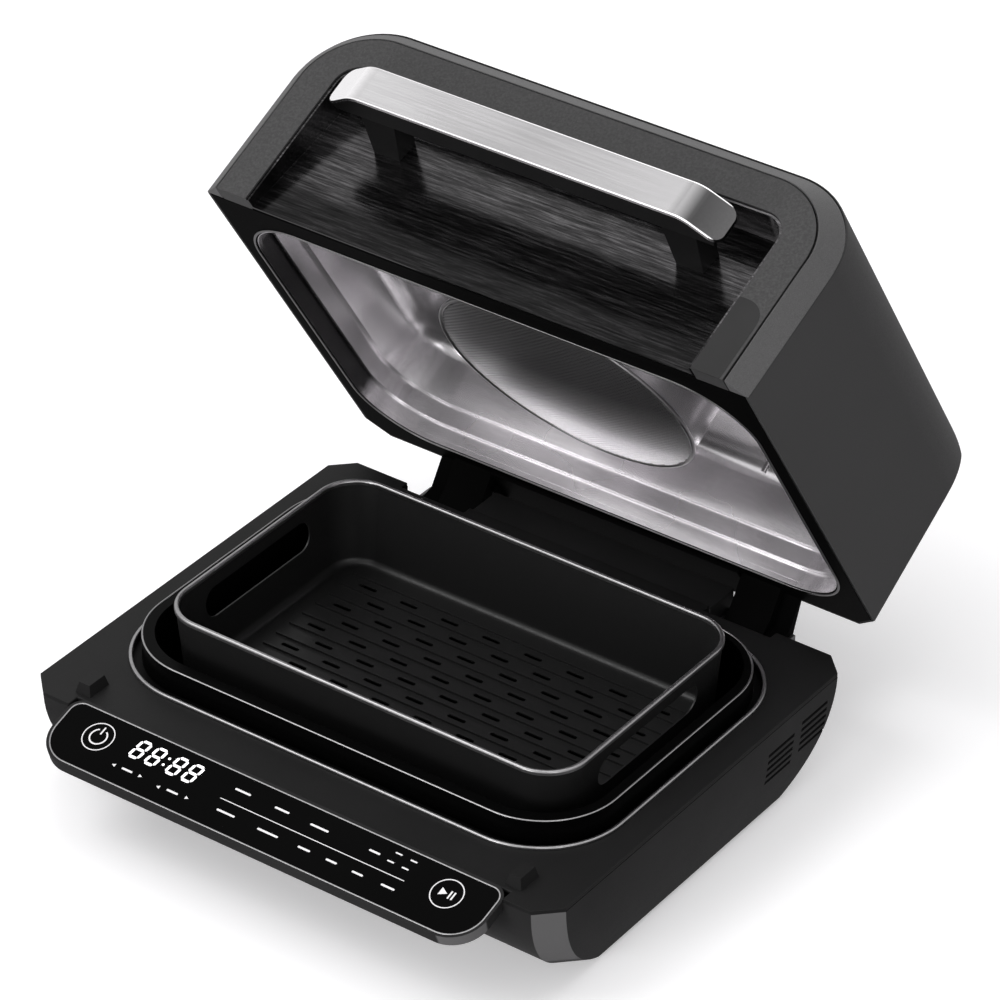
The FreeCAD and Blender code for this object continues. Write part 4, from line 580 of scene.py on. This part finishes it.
def guard_frame():
    """Matrix at the centre of the guard's lower edge, with Z along the fan's axis, and the guard's radius."""
    fan = joint("fan_spin")
    place, axis = Vector(fan["pos_m"]), Vector(fan["axis"]).normalized()
    steps = [vertex.co - place for vertex in frame["nodes"]["fan_guard"].data.vertices]
    heights = [step.dot(axis) for step in steps]
    radius = max((step - axis * height).length for step, height in zip(steps, heights))
    edge = min(height for step, height in zip(steps, heights) if (step - axis * height).length > radius - MM)
    turn = axis.to_track_quat("Z", "Y").to_matrix().to_4x4() @ Matrix.Rotation(GUARD_LATTICE_TURN, 4, "Z")
    return Matrix.Translation(place + axis * edge) @ turn, radius


def guard_height(x, y, radius):
    """Level of the sheet: level with the rim at its edge, lowest in the middle."""
    return GUARD_RIM / 2 - GUARD_BULGE * max(0.0, 1 - (x * x + y * y) / radius ** 2)


def add_cell(mesh, centre, radius):
    """Six-sided cell of the sheet round one hole."""
    loops = []
    for reach in (GUARD_PITCH / math.sqrt(3), GUARD_PITCH / 2 * GUARD_HOLE_SHARE):
        loop = []
        for turn in HEXAGON:
            x, y = centre[0] + reach * math.cos(turn), centre[1] + reach * math.sin(turn)
            loop.append(mesh.verts.new((x, y, guard_height(x, y, radius))))
        loops.append(loop)
    for corner, (outer, inner) in enumerate(zip(*loops)):
        after = (corner + 1) % len(HEXAGON)
        mesh.faces.new((outer, loops[0][after], loops[1][after], inner))


def add_guard_sheet(mesh, radius):
    """Cells in staggered rows out to a radius, as one sheet."""
    rows = int(radius / GUARD_ROW)
    for row in range(-rows, rows + 1):
        y = row * GUARD_ROW
        half = int(math.sqrt(radius ** 2 - y ** 2) / GUARD_PITCH)
        for column in range(-half, half + 1):
            x = (column + 0.5 * (row % 2)) * GUARD_PITCH
            if math.hypot(x, y) < radius - GUARD_PITCH / 2:
                add_cell(mesh, (x, y), radius)
    bmesh.ops.remove_doubles(mesh, verts=mesh.verts, dist=GUARD_WELD)
    bmesh.ops.solidify(mesh, geom=list(mesh.faces), thickness=GUARD_SHEET)


def add_rolled_rim(mesh, radius, thickness, steps):
    """Closed ring of round section, its outside at a radius, standing on the level of zero."""
    half = thickness / 2
    loops = []
    for step in range(steps):
        turn = math.tau * step / steps
        loop = []
        for side in range(ROUND_SIDES):
            angle = math.tau * side / ROUND_SIDES
            reach = radius - half + half * math.cos(angle)
            corner = (reach * math.cos(turn), reach * math.sin(turn), half + half * math.sin(angle))
            loop.append(mesh.verts.new(corner))
        loops.append(loop)
    join_loops(mesh, loops)


def join_loops(mesh, loops):
    """Faces between closed loops that follow each other round a ring."""
    for first, second in zip(loops, loops[1:] + loops[:1]):
        join_pair(mesh, first, second)


def join_pair(mesh, first, second):
    """Faces between two closed loops."""
    for side in range(len(first)):
        after = (side + 1) % len(first)
        mesh.faces.new((first[side], second[side], second[after], first[after]))


def closed_body(mesh, loops):
    """Body between two loops, with a face on each."""
    join_pair(mesh, *loops)
    mesh.faces.new(loops[0])
    mesh.faces.new(loops[1])


def fine_guard():
    """Perforated sheet and its rolled rim."""
    matrix, radius = guard_frame()
    sheet = bmesh.new()
    add_guard_sheet(sheet, radius - GUARD_RIM / 2)
    face = add_piece("guard_sheet", sheet, FINISHES["guard_metal"], "lid", matrix)
    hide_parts("fan_guard")
    ring = bmesh.new()
    add_rolled_rim(ring, radius, GUARD_RIM, GUARD_RIM_STEPS)
    rim = add_piece("guard_ring", ring, FINISHES["bright_metal"], "lid", matrix)
    rim.data.shade_smooth()


# Bright lining inside the wall of the lid's mouth, and dark blocks beside the cover of the hinge as painted shade

MOUTH_HALF_WIDTH = 204.5 * MM
MOUTH_FRONT = 316.0 * MM
MOUTH_BACK = 24.0 * MM
MOUTH_CORNER = 52.0 * MM
MOUTH_LEVELS = (0.2 * MM, 4.0 * MM)
LINING_SHEET = 0.6 * MM
MOUTH_CORNER_STEPS = 16
SHADE_BLOCK_SIDES = (106.0 * MM, 122.0 * MM)
SHADE_BLOCK_DEPTHS = (2.5 * MM, 24.0 * MM)
SHADE_BLOCK_LEVELS = (-9.0 * MM, 0.0)


def mouth_lining():
    """Thin band that lines the mouth of the lid all round."""
    low, high = Vector((-MOUTH_HALF_WIDTH, -MOUTH_FRONT)), Vector((MOUTH_HALF_WIDTH, -MOUTH_BACK))
    strip = bmesh.new()
    loops = []
    for point, outwards in rounded_path(low, high, MOUTH_CORNER, MOUTH_CORNER_STEPS, 0.0):
        inner = point - outwards * LINING_SHEET
        section = ((point, MOUTH_LEVELS[0]), (inner, MOUTH_LEVELS[0]), (inner, MOUTH_LEVELS[1]),
                   (point, MOUTH_LEVELS[1]))
        loops.append([strip.verts.new((*place, level)) for place, level in section])
    join_loops(strip, loops)
    add_piece("mouth_lining", strip, FINISHES["liner_metal"], "lid", lid_matrix())


def hinge_shade_blocks():
    """Small dark block on each side of the hinge's cover, behind and just below the lid's lower back edge: painted
    shade that fills gaps lying in shadow there.
    """
    shade_blocks = bmesh.new()
    # Painted shade: black blocks where there is only shadow
    for side in (-1, 1):
        corners = [(x * side, y) for x, y in zip(SHADE_BLOCK_SIDES + SHADE_BLOCK_SIDES[::-1], sorted(SHADE_BLOCK_DEPTHS * 2))]
        rows = [[shade_blocks.verts.new((x, y, level)) for x, y in corners] for level in SHADE_BLOCK_LEVELS]
        closed_body(shade_blocks, rows)
    add_piece("hinge_shade_blocks", shade_blocks, FINISHES["frame_plastic"], "lid", lid_matrix())


# Rolled edge round the lip of the pot, in bright metal as a painted highlight on the dark coating

LIP_BEAD = 0.8 * MM
LIP_CORNER = 59.0 * MM
LIP_CORNER_STEPS = 20


def rounded_path(low, high, corner, steps, inset):
    """Points of a rectangle with round corners and the direction outwards at each."""
    inner_low = Vector((low.x + corner, low.y + corner))
    inner_high = Vector((high.x - corner, high.y - corner))
    centres = ((inner_high.x, inner_high.y, 0), (inner_low.x, inner_high.y, 90),
               (inner_low.x, inner_low.y, 180), (inner_high.x, inner_low.y, 270))
    points = []
    for x, y, start in centres:
        for step in range(steps + 1):
            angle = math.radians(start + 90 * step / steps)
            outwards = Vector((math.cos(angle), math.sin(angle)))
            points.append((Vector((x, y)) + outwards * (corner - inset), outwards))
    return points


def lip_bead_highlight():
    """Bead of round section along the outline of the pot's lip; its bright metal is a painted highlight along the
    rolled edge.
    """
    low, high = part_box("cooking_pot")
    bead = bmesh.new()
    loops = []
    for point, outwards in rounded_path(low, high, LIP_CORNER, LIP_CORNER_STEPS, LIP_BEAD):
        loop = []
        for side in range(ROUND_SIDES):
            angle = math.tau * side / ROUND_SIDES
            place = point + outwards * (LIP_BEAD * math.cos(angle))
            loop.append(bead.verts.new((*place, high.z - LIP_BEAD / 2 + LIP_BEAD * math.sin(angle))))
        loops.append(loop)
    join_loops(bead, loops)
    # Painted highlight: the bead takes bright metal, not the pot's coating
    add_piece("pot_lip_bead_highlight", bead, FINISHES["bright_metal"], "pot").data.shade_smooth()


# Marks on the control panel: lengths on the glass are in millimetres

PANEL_SLOPE = math.radians(17.5)
GLASS_THICKNESS = 2.0 * MM
MARK_HEIGHT = 0.12 * MM
MARK_SINK = 0.02 * MM
SLANT_SHARE = 0.16
ARROW_BACK_SHARE = 0.6
ARROW_HALF_SHARE = 0.8
DIGIT_GAP_SHARE = 0.22


def panel_frame():
    """Matrix of the glass: origin at its upper back edge, Y up the slope, Z out of the glass."""
    _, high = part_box("touch_panel")
    origin = Vector((0, high.y - GLASS_THICKNESS * math.sin(PANEL_SLOPE), high.z))
    return Matrix.Translation(origin) @ Matrix.Rotation(PANEL_SLOPE, 4, "X")


def raise_faces(mesh, faces):
    """Give flat faces the thickness of a print."""
    made = bmesh.ops.extrude_face_region(mesh, geom=faces)
    tops = [item for item in made["geom"] if isinstance(item, bmesh.types.BMVert)]
    bmesh.ops.translate(mesh, verts=tops, vec=(0, 0, MARK_HEIGHT))


def add_polygon(mesh, points):
    """Raised mark from an outline on the glass."""
    corners = [mesh.verts.new((x * MM, y * MM, -MARK_SINK)) for x, y in points]
    raise_faces(mesh, [mesh.faces.new(corners)])


def add_ring(mesh, centre, radius, band, start=0.0, sweep=360.0, steps=64):
    """Ring or arc of a band's width, from a start angle anticlockwise."""
    closed = sweep >= 360.0
    count = steps if closed else steps + 1
    angles = [math.radians(start + sweep * step / steps) for step in range(count)]
    loops = [[mesh.verts.new(((centre[0] + reach * math.cos(angle)) * MM,
                              (centre[1] + reach * math.sin(angle)) * MM, -MARK_SINK)) for angle in angles]
             for reach in (radius - band, radius)]
    faces = []
    for step in range(steps):
        after = (step + 1) % count
        faces.append(mesh.faces.new((loops[0][step], loops[1][step], loops[1][after], loops[0][after])))
    raise_faces(mesh, faces)


def add_bar(mesh, centre, length, height, steps=6):
    """Bar with round ends."""
    half = height / 2
    points = []
    for side, turn in ((1, -90), (-1, 90)):
        for step in range(steps + 1):
            angle = math.radians(turn + 180 * step / steps)
            points.append((centre[0] + side * (length / 2 - half) + half * math.cos(angle),
                           centre[1] + half * math.sin(angle)))
    add_polygon(mesh, points)


def add_arrow(mesh, centre, size, side):
    """Small triangle that points left or right."""
    x, y = centre
    back = x - side * size * ARROW_BACK_SHARE
    half = size * ARROW_HALF_SHARE
    points = [(x + side * size, y), (back, y + half), (back, y - half)]
    add_polygon(mesh, points if side < 0 else points[::-1])


def add_digit(mesh, centre, width, height, band):
    """Seven bars of an eight, leaning to the right."""
    gap = band * DIGIT_GAP_SHARE
    half = band / 2
    bars = [(0, height / 2, 0), (0, 0, 0), (0, -height / 2, 0),
            (-width / 2, height / 4, 1), (width / 2, height / 4, 1),
            (-width / 2, -height / 4, 1), (width / 2, -height / 4, 1)]
    for x, y, upright in bars:
        reach = (height / 4 if upright else width / 2) - gap
        if upright:
            shape = [(-half, half - reach), (0, -reach), (half, half - reach),
                     (half, reach - half), (0, reach), (-half, reach - half)]
        else:
            shape = [(-reach, 0), (half - reach, -half), (reach - half, -half),
                     (reach, 0), (reach - half, half), (half - reach, half)]
        outline = []
        for right, up in shape:
            outline.append((centre[0] + x + right + SLANT_SHARE * (y + up), centre[1] + y + up))
        add_polygon(mesh, outline)


def add_piece(name, mesh, finish, body, matrix=None):
    """Turn a bmesh into an object that rides on a body."""
    bmesh.ops.recalc_face_normals(mesh, faces=mesh.faces)
    data = bpy.data.meshes.new(name)
    mesh.to_mesh(data)
    mesh.free()
    if matrix:
        data.transform(matrix)
    item = bpy.data.objects.new(name, data)
    bpy.context.collection.objects.link(item)
    data.materials.append(finish)
    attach(item, body)
    return item


POWER_KEY = (-145.8, -18.6)
START_KEY = (145.2, -18.0)
KEY_RADIUS = 11.8
KEY_BAND = 0.75
POWER_ARC = {"radius": 6.8, "band": 1.1, "start": 118.0, "sweep": 304.0, "steps": 48}
POWER_STEM_RISE = 5.4
POWER_STEM = (6.4, 1.1)
START_TRIANGLE = ((-5.4, -3.2), (0.2, 0.0), (-5.4, 3.2))
START_BAR_SHIFTS = (2.4, 5.0)
START_BAR = (6.4, 1.2)
DIVIDER = ((38.0, -22.6), 152.0, 0.55)
ARROW_SIZE = 1.7
MARK_BAND = 1.5
LEVEL_MARK_BAND = 1.1
STEP_ARROWS = ((-120.9, -33.2, -1), (-98.9, -32.8, 1), (-81.9, -34.4, -1), (-58.8, -33.2, 1))
UPPER_MARKS = ((-27.0, -11.6, 13.0), (6.0, -12.0, 12.0), (37.5, -12.6, 15.0), (82.5, -12.0, 9.0))
LOWER_MARKS = ((-27.0, -31.4, 15.0), (8.5, -31.9, 17.0), (38.4, -31.6, 10.0), (61.0, -31.6, 9.0),
               (82.5, -31.8, 9.0), (107.0, -31.6, 11.0))
LEVEL_MARKS = ((98.0, -5.8, 5.5), (110.5, -6.4, 5.5), (96.6, -13.6, 5.5), (108.6, -13.9, 5.5))
STEP_MARKS = ((-110.0, -32.8, 9.0), (-70.6, -33.6, 9.5))
DIGIT_CENTRES = (-112.5, -99.0, -81.0, -67.5)
DIGIT_ROW = -14.6
DIGIT_SIZE = (7.6, 14.4, 2.0)
COLON_SHIFTS = (-3.0, 3.0)
COLON_DOT = (1.0, 0.99)


def panel_marks():
    """Rings of the two keys, symbols inside them, arrows, divider and small bars at the functions."""
    finish = printed("panel_print", 225, 0.25)
    lines = bmesh.new()
    for centre in (POWER_KEY, START_KEY):
        add_ring(lines, centre, KEY_RADIUS, KEY_BAND)
    add_ring(lines, POWER_KEY, **POWER_ARC)
    add_bar_upright(lines, (POWER_KEY[0], POWER_KEY[1] + POWER_STEM_RISE), *POWER_STEM)
    add_start_symbol(lines, START_KEY)
    add_bar(lines, *DIVIDER)
    for x, y, side in STEP_ARROWS:
        add_arrow(lines, (x, y), ARROW_SIZE, side)
    for x, y, length in UPPER_MARKS + LOWER_MARKS + STEP_MARKS:
        add_bar(lines, (x, y), length, MARK_BAND)
    for x, y, length in LEVEL_MARKS:
        add_bar(lines, (x, y), length, LEVEL_MARK_BAND)
    add_piece("panel_marks", lines, finish, "base", panel_frame())


def add_bar_upright(mesh, centre, length, width):
    x, y = centre
    add_polygon(mesh, [(x - width / 2, y - length / 2), (x + width / 2, y - length / 2),
                       (x + width / 2, y + length / 2), (x - width / 2, y + length / 2)])


def add_start_symbol(mesh, centre):
    """Triangle and two bars: start and pause."""
    x, y = centre
    add_polygon(mesh, [(x + right, y + up) for right, up in START_TRIANGLE])
    for shift in START_BAR_SHIFTS:
        add_bar_upright(mesh, (x + shift, y), *START_BAR)


def panel_digits():
    """Four lit digits and a colon."""
    finish = printed("display_glow", 250, 0.9)
    digits = bmesh.new()
    for centre in DIGIT_CENTRES:
        add_digit(digits, (centre, DIGIT_ROW), *DIGIT_SIZE)
    middle = (DIGIT_CENTRES[1] + DIGIT_CENTRES[2]) / 2
    for shift in COLON_SHIFTS:
        add_ring(digits, (middle + SLANT_SHARE * shift, DIGIT_ROW + shift), *COLON_DOT, steps=16)
    add_piece("panel_digits", digits, finish, "base", panel_frame())


# Stage

AMBIENT = 0.5
FLOOR_HALF = 6.0
FLOOR_COLOR = (0.93, 0.925, 0.935)
FLOOR_ROUGHNESS = 0.95
FLOOR_LIFT = 0.3
FLOOR_LIFT_COLOR = (1.0, 0.99, 1.0, 1.0)
FLOOR_MIRRORED = 165
CAMERA_PLACE = (1.70877, -2.36585, 2.12800)
CAMERA_BACK = (0.48674, -0.67645, 0.55272)
CAMERA_ROLL = math.radians(0.3154)
CAMERA_LENS = 185.50
CAMERA_SENSOR = 36.0
VIEW_DEPTH = 40.0
LAMPS = (
    {"name": "key", "place": (-1.3, -1.3, 2.5), "target": (0, 0, 0.15), "size": 1.6, "power": 30.0},
    {"name": "top", "place": (0.2, 0.4, 2.6), "target": (0, 0, 0.1), "size": 2.2, "power": 18.0},
    {"name": "right", "place": (2.0, -1.6, 0.9), "target": (0, -0.1, 0.1), "size": 1.0, "power": 9.0},
    {"name": "front", "place": (-0.3, -2.4, 0.6), "target": (0, 0.1, 0.3), "size": 0.9, "power": 19.0},
)


def mix_by_ray(tree, rays, shown, hidden):
    """Shader that the listed kinds of ray see, and another for the rest."""
    path = tree.nodes.new("ShaderNodeLightPath")
    total = path.outputs[rays[0]]
    for name in rays[1:]:
        join = tree.nodes.new("ShaderNodeMath")
        join.operation = "MAXIMUM"
        tree.links.new(total, join.inputs[0])
        tree.links.new(path.outputs[name], join.inputs[1])
        total = join.outputs[0]
    mix = tree.nodes.new("ShaderNodeMixShader")
    tree.links.new(total, mix.inputs[0])
    tree.links.new(hidden, mix.inputs[1])
    tree.links.new(shown, mix.inputs[2])
    return mix.outputs[0]


def white_world(ambient):
    """White where a camera or a reflection looks; elsewhere a soft even light."""
    world = bpy.data.worlds.new("studio")
    bpy.context.scene.world = world
    world.use_nodes = True
    tree = world.node_tree
    soft = tree.nodes["Background"]
    soft.inputs["Color"].default_value = (1, 1, 1, 1)
    soft.inputs["Strength"].default_value = ambient
    white = tree.nodes.new("ShaderNodeBackground")
    white.inputs["Color"].default_value = (1, 1, 1, 1)
    white.inputs["Strength"].default_value = 1.0
    rays = ("Is Camera Ray", "Is Glossy Ray", "Is Transmission Ray")
    out = mix_by_ray(tree, rays, white.outputs[0], soft.outputs[0])
    tree.links.new(out, tree.nodes["World Output"].inputs["Surface"])


def pale_floor():
    """Pale floor that keeps the object's shadow and looks darker in reflections."""
    mesh = bmesh.new()
    bmesh.ops.create_grid(mesh, x_segments=2, y_segments=2, size=FLOOR_HALF)
    data = bpy.data.meshes.new("floor")
    mesh.to_mesh(data)
    mesh.free()
    floor = bpy.data.objects.new("floor", data)
    bpy.context.collection.objects.link(floor)
    finish = Finish("floor_paper", FLOOR_COLOR, FLOOR_ROUGHNESS, specular=0.0)
    tree = finish.material.node_tree
    lift = tree.nodes.new("ShaderNodeEmission")
    lift.inputs["Color"].default_value = FLOOR_LIFT_COLOR
    lift.inputs["Strength"].default_value = FLOOR_LIFT
    add = tree.nodes.new("ShaderNodeAddShader")
    tree.links.new(finish.shader.outputs[0], add.inputs[0])
    tree.links.new(lift.outputs[0], add.inputs[1])
    seen = mix_by_ray(tree, ("Is Camera Ray",), add.outputs[0], finish.shader.outputs[0])
    dim = tree.nodes.new("ShaderNodeEmission")
    dim.inputs["Color"].default_value = (*grey(FLOOR_MIRRORED), 1.0)
    out = mix_by_ray(tree, ("Is Glossy Ray",), dim.outputs[0], seen)
    tree.links.new(out, tree.nodes["Material Output"].inputs["Surface"])
    data.materials.append(finish.material)


def area_light(name, place, target, size, power):
    data = bpy.data.lights.new(name, "AREA")
    data.size = size
    data.energy = power
    lamp = bpy.data.objects.new(name, data)
    lamp.location = place
    lamp.rotation_euler = (Vector(target) - Vector(place)).to_track_quat("-Z", "Y").to_euler()
    bpy.context.collection.objects.link(lamp)


def studio_lights():
    for lamp in LAMPS:
        area_light(**lamp)


def photo_camera():
    data = bpy.data.cameras.new("camera")
    data.sensor_width = CAMERA_SENSOR
    data.lens = CAMERA_LENS
    data.clip_end = VIEW_DEPTH
    camera = bpy.data.objects.new("camera", data)
    back = Vector(CAMERA_BACK)
    turn = back.to_track_quat("Z", "Y").to_matrix().to_4x4()
    camera.matrix_world = Matrix.Translation(CAMERA_PLACE) @ turn @ Matrix.Rotation(CAMERA_ROLL, 4, "Z")
    bpy.context.collection.objects.link(camera)
    bpy.context.scene.camera = camera


dress_nodes()
panel_marks()
panel_digits()
fine_guard()
lip_bead_highlight()
mouth_lining()
hinge_shade_blocks()
white_world(AMBIENT)
pale_floor()
studio_lights()
photo_camera()
bpy.context.scene.view_settings.view_transform = "Standard"
